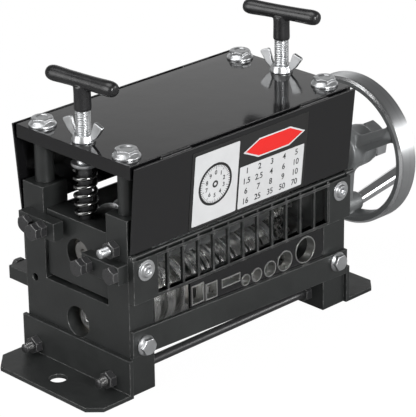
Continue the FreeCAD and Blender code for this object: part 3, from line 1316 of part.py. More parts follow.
def crank_handle():
    """A stud in the wheel's boss and a tapered, round-ended grip that turns on it."""
    grip_start = "(grip_gap + grip_root_radius * tan(crank_lean))"
    seat = "(crank_stud_seat - seat_clearance)"
    stem_length = f"({seat} + {grip_start} + grip_length + grip_gap)"
    stem = cylinder("stud_stem", "crank_stud_radius", stem_length)
    head = cylinder("stud_head", "stud_head_radius", "stud_head_length", (0, 0, stem_length))
    register(along_crank(fuse("stud_solid", [stem, head]), f"-{seat}"), "crank_stud")

    taper = "(grip_length - grip_end_radius)"
    shell = fuse("grip_shell", [
        cone("grip_taper", "grip_root_radius", "grip_end_radius", taper),
        primitive("Sphere", "grip_end", {"Radius": "grip_end_radius"}, (0, 0, taper)),
    ])
    bore = cylinder("grip_bore", "crank_stud_radius + grip_clearance", "grip_length")
    flat = cylinder("grip_flat", "stud_head_radius + grip_clearance", "grip_length",
                    (0, 0, "grip_length - stud_head_length / 2"))
    grip = cut("grip", shell, fuse("grip_holes", [bore, flat]))
    register(along_crank(grip, grip_start), "crank_grip")


# ---------------------------------------------------------------- pressure screws

def pressure_screw(side):
    """Threaded rod with a collar for the spring and a T handle; the wing nut locks it."""
    name = END_NAME[side]
    axis = f"{side} * {PLATE_MIDDLE}"
    bar_level = f"{name}_bar_height"
    tip = f"({BLOCK_TOP} - press_tip_depth)"
    rod_end = f"({bar_level} - t_socket_spare)"
    rod = fuse(f"{name}_rod", [
        cylinder(f"{name}_tip", "press_tip_radius", f"{COLLAR_FOOT} - {tip}", (0, 0, tip)),
        cylinder(f"{name}_collar", "collar_radius", "collar_height", (0, 0, COLLAR_FOOT)),
        cylinder(f"{name}_thread", "press_thread_radius", f"{rod_end} - {COLLAR_TOP}",
                 (0, 0, COLLAR_TOP)),
    ])
    register(place(rod, (axis, 0, 0)), f"{name}_screw_rod")

    turn = f"{name}_bar_turn"
    neck_foot = "-t_neck_length"
    pieces = [cone(f"{name}_neck", "t_neck_low_radius", "t_neck_high_radius", "t_neck_length",
                   (0, 0, neck_foot))]
    for face, direction in ((FRONT, TO_FRONT), (REAR, TO_REAR)):
        half = f"{name}_{FACE_NAME[face]}"
        pieces.append(cone(f"{half}_arm", "t_bar_middle_radius", "t_bar_end_radius", "t_bar_reach",
                           (0, 0, 0), direction))
        pieces.append(primitive("Sphere", f"{half}_ball", {"Radius": "t_ball_radius"},
                                (0, f"{face} * t_bar_reach", 0)))
    socket = cylinder(f"{name}_socket", "press_thread_radius + seat_clearance",
                      "t_neck_length - t_socket_spare + seat_clearance", (0, 0, neck_foot))
    handle = cut(f"{name}_handle", fuse(f"{name}_handle_solid", pieces), socket)
    place(handle, (axis, 0, bar_level), Rotation(V(0, 0, 1), value(turn)), turn)
    register(handle, f"{name}_t_handle")


def wing_nut(side):
    """Conical hub with two rounded wings, seated on the top plate."""
    name = END_NAME[side]
    hub = cone(f"{name}_wing_hub", "wing_base_radius", "wing_top_radius", "wing_hub_height")
    wings = [hub]
    for direction in (LEFT, RIGHT):
        wing = new_body(f"{name}_{END_NAME[direction]}_wing")
        sketch = new_sketch(wing, "XZ", "-wing_thickness / 2")
        outline(sketch, tuple((f"{direction} * {along}", up) for along, up in (
            ("press_thread_radius", "wing_root"),
            ("wing_base_radius", "wing_root"),
            ("wing_elbow_reach", "wing_elbow_height"),
            ("wing_reach", "wing_tip_height"),
            ("wing_reach - wing_corner", "wing_tip_height + wing_corner"),
            ("wing_crown_reach + wing_corner", "wing_height"),
            ("wing_crown_reach", "wing_height - wing_corner"),
            ("wing_top_radius", "wing_hub_height - wing_rim"),
            ("press_thread_radius", "wing_hub_height - wing_rim"),
        )))
        pad(wing, sketch, "wing_thickness")
        wings.append(wing)
    bore = cylinder(f"{name}_wing_bore", "press_thread_radius + pin_clearance", "wing_height")
    nut = cut(f"{name}_wing_solid", fuse(f"{name}_wing_fused", wings), bore)
    turn = f"{name}_wing_turn"
    place(nut, (f"{side} * {PLATE_MIDDLE}", 0, TOP_FACE), Rotation(V(0, 0, 1), value(turn)), turn)
    register(nut, f"{name}_wing_nut")


# ---------------------------------------------------------------- the whole machine

for end in (LEFT, RIGHT):
    end_plate(end)
    foot(end)
    bearing_block(end)
    pressure_spring(end)
    pressure_screw(end)
    wing_nut(end)
top_plate()
top_bolts_and_posts()
tie_rods()
front_bar()
frame_screws = rear_bar() + rear_guard() + block_retainers()
register(group("hex_screw_set", frame_screws), "frame_screws")
guide_comb()
guide_plate()
lower_bushes()
side_stud()
for face in (FRONT, REAR):
    frame_hinges(face)
    cover(face)
cover_label()
upper_bushes()
upper_shaft()
lower_shaft()
cutting_blades()
blade_spacers()
feed_rollers()
drive_gears()
handwheel()
crank_handle()
doc.recompute()


# ---------------------------------------------------------------- checks and files

for item in doc.Objects:
    if "Invalid" in item.State or "Error" in item.State:
        raise RuntimeError(f"{item.Label} failed: {item.State}")
    if item.TypeId == "PartDesign::Pocket":
        if item.Shape.Volume >= item.BaseFeature.Shape.Volume:
            raise RuntimeError(f"{item.Label} cuts nothing")

os.makedirs("parts", exist_ok=True)
for item in sub_parts:
    if item.Shape.isNull() or not item.Shape.isValid():
        raise RuntimeError(f"{item.Label} has no valid shape")
    item.Shape.exportStep(f"parts/{item.Label}.step")
print(f"{len(sub_parts)} sub-parts written")
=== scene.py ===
"""Finish of a hand cranked wire stripper, made piece by piece around its solid parts."""

import json
import math

import bmesh
import bpy
from bpy.props import FloatProperty, FloatVectorProperty, IntProperty, PointerProperty
from mathutils import Matrix, Vector


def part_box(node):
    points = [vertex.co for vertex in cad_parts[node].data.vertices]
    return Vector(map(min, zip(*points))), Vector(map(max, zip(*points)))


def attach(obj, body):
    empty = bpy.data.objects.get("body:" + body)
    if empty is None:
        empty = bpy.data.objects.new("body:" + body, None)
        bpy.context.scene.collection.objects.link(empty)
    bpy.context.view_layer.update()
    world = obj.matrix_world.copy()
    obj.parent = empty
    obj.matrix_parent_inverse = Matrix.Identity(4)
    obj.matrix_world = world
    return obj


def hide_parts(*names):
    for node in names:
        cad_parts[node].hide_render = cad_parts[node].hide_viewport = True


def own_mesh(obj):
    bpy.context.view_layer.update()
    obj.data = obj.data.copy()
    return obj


bl_info = {
    "name": "Wire Stripper",
    "version": (1, 0, 0),
    "blender": (4, 5, 0),
    "location": "View3D > Sidebar > Wire Stripper",
    "description": "Paint, metal finishes, threads, springs, handles and label of a wire stripper",
    "category": "Object",
}

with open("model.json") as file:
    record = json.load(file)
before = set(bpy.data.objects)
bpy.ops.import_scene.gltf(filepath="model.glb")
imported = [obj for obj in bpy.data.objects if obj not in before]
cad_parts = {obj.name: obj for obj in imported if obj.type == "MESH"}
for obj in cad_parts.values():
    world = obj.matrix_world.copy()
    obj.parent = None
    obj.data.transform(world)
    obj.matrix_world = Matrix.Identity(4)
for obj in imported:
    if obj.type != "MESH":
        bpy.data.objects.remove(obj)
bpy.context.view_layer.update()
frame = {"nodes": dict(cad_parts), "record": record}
NODES = frame["nodes"]
MM = 0.001


# ---------------------------------------------------------------- sizes and colours


def length_property(name, description, default):
    return FloatProperty(
        name=name, description=description, default=default, unit="LENGTH", subtype="DISTANCE",
    )


def colour_property(name, description, default):
    return FloatVectorProperty(
        name=name, description=description, default=default, subtype="COLOR", min=0, max=1,
    )


class StripperSizes(bpy.types.PropertyGroup):
    """Sizes that the finish uses."""

    edge_round: length_property(
        "Edge rounding", "Rounding of sawn and sheared edges", 0.4 * MM)
    fine_round: length_property(
        "Fine edge rounding", "Rounding of turned and small parts", 0.22 * MM)
    press_pitch: length_property(
        "Pressure screw pitch", "Rise in one turn of the screws", 1.5 * MM)
    small_pitch: length_property(
        "Small thread pitch", "Rise in one turn of the M6 threads", 1.0 * MM)
    spring_turns: FloatProperty(
        name="Spring turns", description="Turns of each pressure spring", default=5.5,
    )
    knurl_teeth: IntProperty(
        name="Knurl teeth", description="Ridges around each knurled roller", default=96,
    )


class StripperColours(bpy.types.PropertyGroup):
    """Colours of the painted and moulded surfaces."""

    satin_paint: colour_property(
        "Satin paint", "Paint of the frame", (0.011, 0.012, 0.0118))
    gloss_paint: colour_property(
        "Gloss paint", "Paint of the top plate and covers", (0.0055, 0.0055, 0.006))
    wheel_paint: colour_property(
        "Wheel paint", "Paint of the wheel's casting", (0.15, 0.156, 0.158))
    handle_black: colour_property(
        "Handle plastic", "Moulding of the T handles", (0.008, 0.008, 0.0085))
    label_red: colour_property(
        "Label red", "Red field of the label", (0.62, 0.014, 0.011))
    label_white: colour_property(
        "Label white", "White fields of the label", (0.52, 0.525, 0.53))


def sizes():
    return bpy.context.scene.stripper_sizes


def colours():
    return bpy.context.scene.stripper_colours


def with_alpha(colour, share=1.0, lift=0.0):
    """A share of the colour, plus a lift, with full alpha."""
    return (*(share * part + lift for part in colour), 1.0)


# ---------------------------------------------------------------- shared effects


class Tree:
    """A node tree under construction, with short ways to add and join its nodes."""

    def __init__(self, tree):
        self.tree = tree

    def add(self, kind, inputs=None, **settings):
        node = self.tree.nodes.new(kind)
        for name, setting in settings.items():
            setattr(node, name, setting)
        for name, source in (inputs or {}).items():
            self.feed(source, node.inputs[name])
        return node

    def feed(self, source, socket):
        if isinstance(source, bpy.types.NodeSocket):
            self.tree.links.new(source, socket)
        else:
            socket.default_value = source

    def maths(self, operation, first, second, clamp=False):
        node = self.add("ShaderNodeMath", {0: first, 1: second}, operation=operation)
        node.use_clamp = clamp
        return node.outputs[0]

    def ranged(self, source, low, high, to_low=0.0, to_high=1.0):
        node = self.add("ShaderNodeMapRange", {
            "Value": source, "From Min": low, "From Max": high, "To Min": to_low, "To Max": to_high,
        })
        return node.outputs["Result"]

    def noise(self, vector, scale, detail, roughness=0.5):
        node = self.add("ShaderNodeTexNoise", {
            "Vector": vector, "Scale": scale, "Detail": detail, "Roughness": roughness,
        })
        return node.outputs["Fac"]

    def tint(self, mask, first, second):
        node = self.add("ShaderNodeMix", data_type="RGBA")
        self.feed(mask, node.inputs[0])
        self.feed(first, node.inputs[6])
        self.feed(second, node.inputs[7])
        return node.outputs[2]


def effect(name, inputs, outputs):
    """An empty node group with named sockets; returns its tree and its inner input sockets."""
    group = bpy.data.node_groups.new(name, "ShaderNodeTree")
    for label, kind, default in inputs:
        socket = group.interface.new_socket(label, in_out="INPUT", socket_type=kind)
        if default is not None:
            socket.default_value = default
    for label, kind in outputs:
        group.interface.new_socket(label, in_out="OUTPUT", socket_type=kind)
    tree = Tree(group)
    return tree, tree.add("NodeGroupInput").outputs, tree.add("NodeGroupOutput").inputs


VECTOR, FLOAT = "NodeSocketVector", "NodeSocketFloat"


def drift_effect():
    """Soft patches, such as handling marks, between two values."""
    tree, given, result = effect("Patchy drift", (
        ("Place", VECTOR, None), ("Scale", FLOAT, 60.0), ("Low", FLOAT, 0.0), ("High", FLOAT, 1.0),
    ), (("Value", FLOAT),))
    patches = tree.noise(given["Place"], given["Scale"], 4.0, 0.6)
    tree.feed(tree.ranged(patches, 0.32, 0.68, given["Low"], given["High"]), result["Value"])


def worn_effect():
    """Outer edges where the finish is thinner, broken up unevenly; on the paints the lighter tint
    along them is partly a painted highlight.
    """
    tree, given, result = effect("Outer edge mask", (
        ("Place", VECTOR, None), ("Radius", FLOAT, 0.6 * MM), ("Wear", FLOAT, 0.5),
        ("Break-up", FLOAT, 240.0),
    ), (("Mask", FLOAT),))
    rounded = tree.add("ShaderNodeBevel", {"Radius": given["Radius"]}, samples=4)
    surface = tree.add("ShaderNodeNewGeometry")
    agreement = tree.add("ShaderNodeVectorMath", {
        0: rounded.outputs["Normal"], 1: surface.outputs["Normal"],
    }, operation="DOT_PRODUCT").outputs["Value"]
    edge = tree.ranged(agreement, 0.995, 0.86)
    uneven = tree.noise(given["Place"], given["Break-up"], 5.0, 0.65)
    reach = tree.ranged(given["Wear"], 0.0, 1.0, 0.6, 0.2)
    patch = tree.ranged(uneven, reach, tree.maths("ADD", reach, 0.2))
    tree.feed(tree.maths("MULTIPLY", edge, patch, True), result["Mask"])


def skin_effect():
    """Fine pebbled height of sprayed paint or moulded plastic."""
    tree, given, result = effect("Sprayed skin", (
        ("Place", VECTOR, None), ("Scale", FLOAT, 900.0), ("Wave", FLOAT, 120.0),
    ), (("Height", FLOAT),))
    pebbles = tree.noise(given["Place"], given["Scale"], 2.0)
    waves = tree.maths("MULTIPLY", tree.noise(given["Place"], given["Wave"], 1.0), 1.6)
    tree.feed(tree.maths("ADD", waves, pebbles), result["Height"])


def lathe_effect():
    """Rings that a turning tool leaves around an axis along X."""
    tree, given, result = effect("Turned rings", (
        ("Place", VECTOR, None), ("Axis", VECTOR, (0.0, 0.0, 0.0)), ("Scale", FLOAT, 2500.0),
    ), (("Rings", FLOAT), ("Bands", FLOAT)))
    centred = tree.add("ShaderNodeVectorMath", {0: given["Place"], 1: given["Axis"]},
                       operation="SUBTRACT").outputs["Vector"]
    split = tree.add("ShaderNodeSeparateXYZ", {"Vector": centred}).outputs
    flat = tree.add("ShaderNodeCombineXYZ", {"Y": split["Y"], "Z": split["Z"]}).outputs["Vector"]
    radius = tree.add("ShaderNodeVectorMath", {0: flat}, operation="LENGTH").outputs["Value"]
    rings = tree.add("ShaderNodeCombineXYZ", {"X": split["X"], "Y": radius}).outputs["Vector"]
    tree.feed(tree.noise(rings, given["Scale"], 3.0, 0.7), result["Rings"])
    tree.feed(tree.noise(rings, tree.maths("MULTIPLY", given["Scale"], 0.16), 2.0), result["Bands"])


def grain_effect():
    """Brushed or drawn lines along one direction, set by the stretch of each axis."""
    tree, given, result = effect("Drawn grain", (
        ("Place", VECTOR, None), ("Stretch", VECTOR, (1.0, 1.0, 1.0)), ("Scale", FLOAT, 1200.0),
    ), (("Lines", FLOAT),))
    stretched = tree.add("ShaderNodeVectorMath", {0: given["Place"], 1: given["Stretch"]},
                         operation="MULTIPLY").outputs["Vector"]
    tree.feed(tree.noise(stretched, given["Scale"], 3.0, 0.6), result["Lines"])


def casting_effect():
    """Sand cast height with small pits."""
    tree, given, result = effect("Cast skin", (
        ("Place", VECTOR, None), ("Scale", FLOAT, 420.0), ("Pit depth", FLOAT, 0.7),
    ), (("Height", FLOAT), ("Pits", FLOAT)))
    sand = tree.noise(given["Place"], given["Scale"], 5.0, 0.62)
    cells = tree.add("ShaderNodeTexVoronoi", {
        "Vector": given["Place"], "Scale": tree.maths("MULTIPLY", given["Scale"], 0.9),
    }).outputs["Distance"]
    pits = tree.ranged(cells, 0.02, 0.2, 1.0, 0.0)
    sunk = tree.maths("MULTIPLY", pits, given["Pit depth"])
    tree.feed(tree.maths("SUBTRACT", sand, sunk), result["Height"])
    tree.feed(pits, result["Pits"])


# ---------------------------------------------------------------- finishes


class Finish:
    """A material under construction around its Principled BSDF."""

    def __init__(self, name, **constants):
        self.material = bpy.data.materials.new(name)
        self.material.use_nodes = True
        self.tree = Tree(self.material.node_tree)
        self.shader = self.material.node_tree.nodes["Principled BSDF"].inputs
        for socket, setting in constants.items():
            self.shader[socket.replace("_", " ")].default_value = setting
        self.place = self.tree.add("ShaderNodeTexCoord").outputs["Object"]

    def effect(self, name, **inputs):
        node = self.tree.add("ShaderNodeGroup", node_tree=bpy.data.node_groups[name])
        self.tree.feed(self.place, node.inputs["Place"])
        for label, source in inputs.items():
            self.tree.feed(source, node.inputs[label.replace("_", " ")])
        return node.outputs

    def vary(self, socket, source):
        self.tree.feed(source, self.shader[socket])

    def colour(self, mask, first, second):
        self.vary("Base Color", self.tree.tint(mask, first, second))

    def patches(self, scale, low=0.0, high=1.0):
        return self.effect("Patchy drift", Scale=scale, Low=low, High=high)["Value"]

    def shine(self, scale, low, high):
        self.vary("Roughness", self.patches(scale, low, high))

    def relief(self, height, depth):
        """Bumps of that depth in millimetres."""
        node = self.tree.add("ShaderNodeBump", {"Height": height, "Distance": depth * MM})
        self.vary("Normal", node.outputs["Normal"])

    def skin(self, scale, wave, depth):
        self.relief(self.effect("Sprayed skin", Scale=scale, Wave=wave)["Height"], depth)


def satin_paint():
    """Sprayed satin black, a little lighter at the edges, as rubbed paint and a painted highlight.
    """
    finish = Finish("Satin black paint", IOR=1.5)
    outer_edges = finish.effect("Outer edge mask", Radius=0.7 * MM, Wear=0.55)["Mask"]
    dust = finish.tree.maths("MULTIPLY", finish.patches(35.0), 0.35)
    paint = colours().satin_paint
    dusted = finish.tree.tint(dust, with_alpha(paint), with_alpha(paint, 2.1, 0.004))
    # Light grey along the outer edges: rubbed paint and a painted highlight.
    finish.colour(outer_edges, dusted, (0.16, 0.16, 0.158, 1.0))
    finish.shine(90.0, 0.3, 0.42)
    finish.skin(1100.0, 160.0, 0.045)
    return finish.material


def gloss_paint():
    """Glossy black with faint orange peel and wiping marks."""
    finish = Finish("Gloss black paint", IOR=1.52)
    outer_edges = finish.effect("Outer edge mask", Radius=0.5 * MM, Wear=0.4)["Mask"]
    # Lighter grey along the outer edges: rubbed paint and a painted highlight.
    finish.colour(outer_edges, with_alpha(colours().gloss_paint), (0.09, 0.09, 0.092, 1.0))
    finish.shine(28.0, 0.07, 0.13)
    finish.skin(420.0, 70.0, 0.012)
    return finish.material


def bare_metal(name, colour, rough, stretch=(1.0, 1.0, 1.0), depth=0.02):
    """Plated or drawn metal: patchy tone, uneven shine and fine grain."""
    finish = Finish(name, Metallic=1.0)
    finish.colour(finish.patches(150.0), with_alpha(colour, 0.88), with_alpha(colour))
    finish.shine(260.0, *rough)
    finish.relief(finish.effect("Drawn grain", Stretch=stretch, Scale=1400.0)["Lines"], depth)
    return finish.material


def turned_metal(name, colour, rough, axis, depth):
    """Lathe finished metal about an axis along X at that height, in millimetres."""
    finish = Finish(name, Metallic=1.0)
    marks = finish.effect("Turned rings", Axis=(0.0, 0.0, axis * MM), Scale=2600.0)
    finish.colour(marks["Bands"], with_alpha(colour, 0.8), with_alpha(colour))
    finish.vary("Roughness", finish.tree.ranged(marks["Bands"], 0.3, 0.7, *rough))
    finish.relief(marks["Rings"], depth)
    return finish.material


def black_oxide():
    """Blackened steel, bright where spanners touched its edges."""
    finish = Finish("Black oxide", IOR=1.6)
    outer_edges = finish.effect("Outer edge mask", Radius=0.45 * MM, Wear=0.85, **{"Break-up": 500.0})["Mask"]
    finish.colour(outer_edges, (0.02, 0.02, 0.021, 1.0), (0.45, 0.45, 0.44, 1.0))
    finish.vary("Metallic", outer_edges)
    finish.shine(300.0, 0.26, 0.4)
    finish.skin(1800.0, 500.0, 0.02)
    return finish.material


def wheel_paint():
    """Graphite paint over a sand casting."""
    finish = Finish("Graphite cast paint", Metallic=0.35)
    cast = finish.effect("Cast skin", Scale=380.0)
    paint = colours().wheel_paint
    finish.colour(cast["Pits"], with_alpha(paint), with_alpha(paint, 0.55))
    finish.shine(120.0, 0.36, 0.5)
    finish.relief(cast["Height"], 0.07)
    return finish.material


def chrome():
    """Polished plating, faintly uneven."""
    finish = Finish("Chrome", Metallic=1.0)
    finish.colour(finish.patches(200.0), (0.72, 0.73, 0.74, 1.0), (0.84, 0.85, 0.86, 1.0))
    finish.shine(80.0, 0.05, 0.14)
    return finish.material


def handle_plastic():
    """Moulded black with a silky, faintly pebbled skin."""
    finish = Finish("Black moulding", IOR=1.48)
    plastic = colours().handle_black
    finish.colour(finish.patches(60.0), with_alpha(plastic), with_alpha(plastic, 1.8))
    finish.shine(140.0, 0.24, 0.34)
    finish.skin(1500.0, 300.0, 0.018)
    return finish.material


def film(name, colour):
    """Printed plastic film."""
    finish = Finish(name, IOR=1.5)
    finish.colour(finish.patches(45.0), with_alpha(colour, 0.9), with_alpha(colour))
    finish.shine(70.0, 0.28, 0.38)
    finish.skin(700.0, 60.0, 0.006)
    return finish.material


UPPER_AXIS = 80.5  # height of the upper shaft, in millimetres
LOWER_AXIS = 35.5  # height of the lower shaft


def make_finishes():
    """All node groups first, then the materials that place them."""
    for build in (drift_effect, worn_effect, skin_effect, lathe_effect, grain_effect,
                  casting_effect):
        build()
    made = {
        "satin_black_paint": satin_paint(),
        "gloss_black_paint": gloss_paint(),
        "zinc_plating": bare_metal("Zinc plating", (0.6, 0.61, 0.62), (0.3, 0.44), depth=0.012),
        "black_oxide": black_oxide(),
        "spring_steel": bare_metal("Spring wire", (0.17, 0.17, 0.168), (0.16, 0.26), depth=0.006),
        "drawn_steel": bare_metal("Drawn steel", (0.5, 0.5, 0.49), (0.26, 0.4), (0.06, 1.0, 1.0)),
        "wheel_paint": wheel_paint(),
        "chrome": chrome(),
        "handle_plastic": handle_plastic(),
        "label_black": film("Label black", (0.012, 0.012, 0.012)),
        "label_white": film("Label white", colours().label_white),
        "label_red": film("Label red", colours().label_red),
    }
    for key, name, colour, rough, axis, depth in (
        ("upper_turned", "Turned steel, upper", (0.8, 0.8, 0.79), (0.2, 0.34), UPPER_AXIS, 0.03),
        ("lower_turned", "Turned steel, lower", (0.84, 0.84, 0.83), (0.2, 0.34), LOWER_AXIS, 0.03),
        ("dull_shaft", "Dull shaft steel", (0.28, 0.275, 0.265), (0.38, 0.55), UPPER_AXIS, 0.05),
        ("blade_steel", "Ground blades", (0.72, 0.73, 0.74), (0.24, 0.36), UPPER_AXIS, 0.015),
        ("upper_bush", "Upper bearing metal", (0.6, 0.57, 0.5), (0.24, 0.4), UPPER_AXIS, 0.05),
        ("lower_bush", "Lower bearing metal", (0.6, 0.57, 0.5), (0.24, 0.4), LOWER_AXIS, 0.05),
        ("wheel_turned", "Turned rim", (0.6, 0.61, 0.62), (0.26, 0.38), UPPER_AXIS, 0.02),
        # The burnished corners are far lighter than the turned band: partly a painted highlight.
        ("wheel_edge", "Burnished corners", (0.93, 0.94, 0.95), (0.16, 0.26), UPPER_AXIS, 0.01),
    ):
        made[key] = turned_metal(name, colour, rough, axis, depth)
    for key, material in made.items():
        material["finish"] = key


def finish_named(key):
    return next(m for m in bpy.data.materials if m.get("finish") == key)


# ---------------------------------------------------------------- making pieces


def body_of_node(node):
    bodies = frame["record"]["behaviour"]["bodies"]
    return next(body for body, nodes in bodies.items() if node in nodes)


def in_scene(name, data):
    """A new object in the scene."""
    item = bpy.data.objects.new(name, data)
    bpy.context.scene.collection.objects.link(item)
    return item


def new_piece(name, mesh_data, finishes):
    piece = in_scene(name, mesh_data)
    for key in finishes:
        mesh_data.materials.append(finish_named(key))
    return piece


def settle(piece, *nodes, body=None):
    """The piece rides with its nodes' body and is shown instead of them."""
    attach(piece, body or body_of_node(nodes[0]))
    if nodes:
        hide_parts(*nodes)
    return piece


def with_modifiers(piece):
    """Fixes what the piece's modifiers make into its own mesh."""
    graph = bpy.context.evaluated_depsgraph_get()
    made = bpy.data.meshes.new_from_object(piece.evaluated_get(graph))
    old = piece.data
    piece.modifiers.clear()
    piece.data = made
    made.name = old.name
    bpy.data.meshes.remove(old)
    return piece


FLAT_ANGLE = math.radians(0.6)
CREASE = math.radians(32)
WELD = 0.002 * MM


def soften(node, width, *finishes, steps=2):
    """A copy of the node with its sharp edges rounded, in the given finish."""
    shell = bmesh.new()
    shell.from_mesh(NODES[node].data)
    bmesh.ops.remove_doubles(shell, verts=shell.verts, dist=WELD)
    bmesh.ops.dissolve_limit(shell, angle_limit=FLAT_ANGLE, verts=shell.verts, edges=shell.edges)
    mesh_data = bpy.data.meshes.new(f"{node}_mesh")
    shell.to_mesh(mesh_data)
    shell.free()
    piece = new_piece(f"{node}_finished", mesh_data, finishes)
    mesh_data.shade_smooth()
    bevel = piece.modifiers.new("Rounded edges", "BEVEL")
    bevel.width = width
    bevel.segments = steps
    bevel.limit_method = "ANGLE"
    bevel.angle_limit = CREASE
    bevel.use_clamp_overlap = False
    flats = piece.modifiers.new("Flat faces", "WEIGHTED_NORMAL")
    flats.weight = 100
    with_modifiers(piece)
    return settle(piece, node)


def face_outwards(mesh_data):
    shell = bmesh.new()
    shell.from_mesh(mesh_data)
    bmesh.ops.recalc_face_normals(shell, faces=shell.faces)
    shell.to_mesh(mesh_data)
    shell.free()


def grid_mesh(name, rows, looped=False, smooth=0):
    """A mesh over rows of points, each row a ring.

    The rows close into a loop, or else the first and the last one are capped. Faces that meet
    at less than the given degrees are shaded as one.
    """
    points = [point for row in rows for point in row]
    count, width = len(rows), len(rows[0])
    faces = []
    for row in range(count if looped else count - 1):
        below, above = row * width, ((row + 1) % count) * width
        for column in range(width):
            after = (column + 1) % width
            faces.append((below + column, below + after, above + after, above + column))
    if not looped:
        faces.append(tuple(reversed(range(width))))
        faces.append(tuple(range((count - 1) * width, count * width)))
    mesh_data = bpy.data.meshes.new(f"{name}_mesh")
    mesh_data.from_pydata(points, [], faces)
    mesh_data.validate()
    face_outwards(mesh_data)
    if smooth:
        mesh_data.shade_smooth()
        mesh_data.set_sharp_from_angle(angle=math.radians(smooth))
    return mesh_data


def ring(radius, height, count, bump=None):
    """Points around the Z axis; bump changes the radius with the angle. All in millimetres."""
    points = []
    for step in range(count):
        angle = 2 * math.pi * step / count
        reach = (radius + (bump(angle) if bump else 0.0)) * MM
        points.append((reach * math.cos(angle), reach * math.sin(angle), height * MM))
    return points


def turned(name, profile, count=64):
    """A mesh of revolution about Z from (radius, height) pairs, in millimetres."""
    return grid_mesh(name, [ring(radius, height, count) for radius, height in profile], smooth=32)


def threaded(name, profile, stretches, pitch, depth, count=36, per_turn=8):
    """A mesh of revolution about Z whose stretches carry a thread, in millimetres.

    Each stretch is a (start, end) pair of heights that both occur in the profile.
    """
    rows = []
    waiting = list(stretches)
    for radius, height in profile:
        rows.append(ring(radius, height, count))
        if not waiting or height < waiting[0][0]:
            continue
        start, end = waiting.pop(0)
        steps = int((end - start) / pitch * per_turn)
        for step in range(1, steps):
            level = start + (end - start) * step / steps
            run_out = min(1.0, (level - start) / pitch, (end - level) / pitch)

            def groove(angle, level=level, run_out=run_out):
                phase = (level / pitch - angle / (2 * math.pi)) % 1.0
                return -depth * run_out * abs(2 * phase - 1)

            rows.append(ring(radius, level, count, groove))
    return grid_mesh(name, rows, smooth=50)


def hexagonal(name, flats, foot, top):
    """A hexagon from foot to top along Z with its upper corners bevelled, in millimetres."""
    slope = math.radians(30)
    corner = flats / 2 / math.cos(slope)
    seat = flats * 0.47
    drop = (corner - seat) * math.tan(slope)
    around, levels = 72, 6
    rows = []
    for level in [foot] + [top - drop * (levels - step) / levels for step in range(levels + 1)]:
        bevelled = seat + (top - level) / math.tan(slope)

        def cut_back(angle, bevelled=bevelled):
            across = flats / 2 / math.cos(angle % math.radians(60) - slope)
            return min(across, bevelled) - corner

        rows.append(ring(corner, level, around, cut_back))
    return grid_mesh(name, rows, smooth=18)


def moved(mesh_data, matrix):
    mesh_data.transform(matrix)
    mesh_data.update()
    return mesh_data


def joined(name, parts, finishes):
    """One piece from several meshes."""
    shell = bmesh.new()
    for part in parts:
        shell.from_mesh(part)
        bpy.data.meshes.remove(part)
    mesh_data = bpy.data.meshes.new(f"{name}_mesh")
    shell.to_mesh(mesh_data)
    shell.free()
    return new_piece(name, mesh_data, finishes)


def melted(piece, voxel, rounds):
    """Overlapping closed forms become one skin with soft joints."""
    remesh = piece.modifiers.new("One skin", "REMESH")
    remesh.mode = "VOXEL"
    remesh.voxel_size = voxel
    remesh.use_smooth_shade = True
    smooth = piece.modifiers.new("Soft joints", "SMOOTH")
    smooth.factor = 0.5
    smooth.iterations = rounds
    return with_modifiers(piece)


def at_place(x, y, z, turn=0.0):
    """Millimetres from the origin and degrees about Z."""
    rotation = Matrix.Rotation(math.radians(turn), 4, "Z")
    return Matrix.Translation((x * MM, y * MM, z * MM)) @ rotation


def lying(mesh_data, x, y, z, direction=1):
    """An upright mesh laid along X, its foot at the place and its top to that side."""
    rotation = Matrix.Rotation(math.radians(90 * direction), 4, "Y")
    return moved(mesh_data, Matrix.Translation((x * MM, y * MM, z * MM)) @ rotation)


# Places in millimetres.
SIDES = {"left": -1, "right": 1}
PLATE_MIDDLE = 86.0  # pressure screws, from the middle
PLATE_OUTER = 96.0  # outside of the end plates
TOP_FACE = 153.3  # upper face of the top plate


# ---------------------------------------------------------------- pieces


class PieceMaker:
    """What every operator of the panel shares."""

    bl_options = {"REGISTER", "UNDO"}

    def execute(self, context):
        self.make()
        return {"FINISHED"}


class STRIPPER_OT_frame(PieceMaker, bpy.types.Operator):
    """Painted plates, feet, bars and comb with rounded edges"""

    bl_idname = "stripper.frame"
    bl_label = "Painted frame"

    def make(self):
        for node in ("left_end_plate", "right_end_plate", "left_foot", "right_foot", "front_bar",
                     "rear_guide_bar", "rear_guard", "left_bearing_block", "right_bearing_block",
                     "block_retainers", "spacer_posts"):
            soften(node, sizes().edge_round, "satin_black_paint")
        for node in ("guide_comb_frame", "guide_comb_dividers", "latch_rod"):
            soften(node, sizes().fine_round, "satin_black_paint")
        soften("hole_guide_plate", sizes().fine_round, "gloss_black_paint")
        for node in ("top_plate", "front_cover", "rear_cover"):
            soften(node, sizes().edge_round, "gloss_black_paint")
        for node in ("front_hinge_frame_leaves", "front_hinge_cover_leaves",
                     "rear_hinge_frame_leaves", "rear_hinge_cover_leaves"):
            soften(node, sizes().fine_round / 2, "gloss_black_paint")


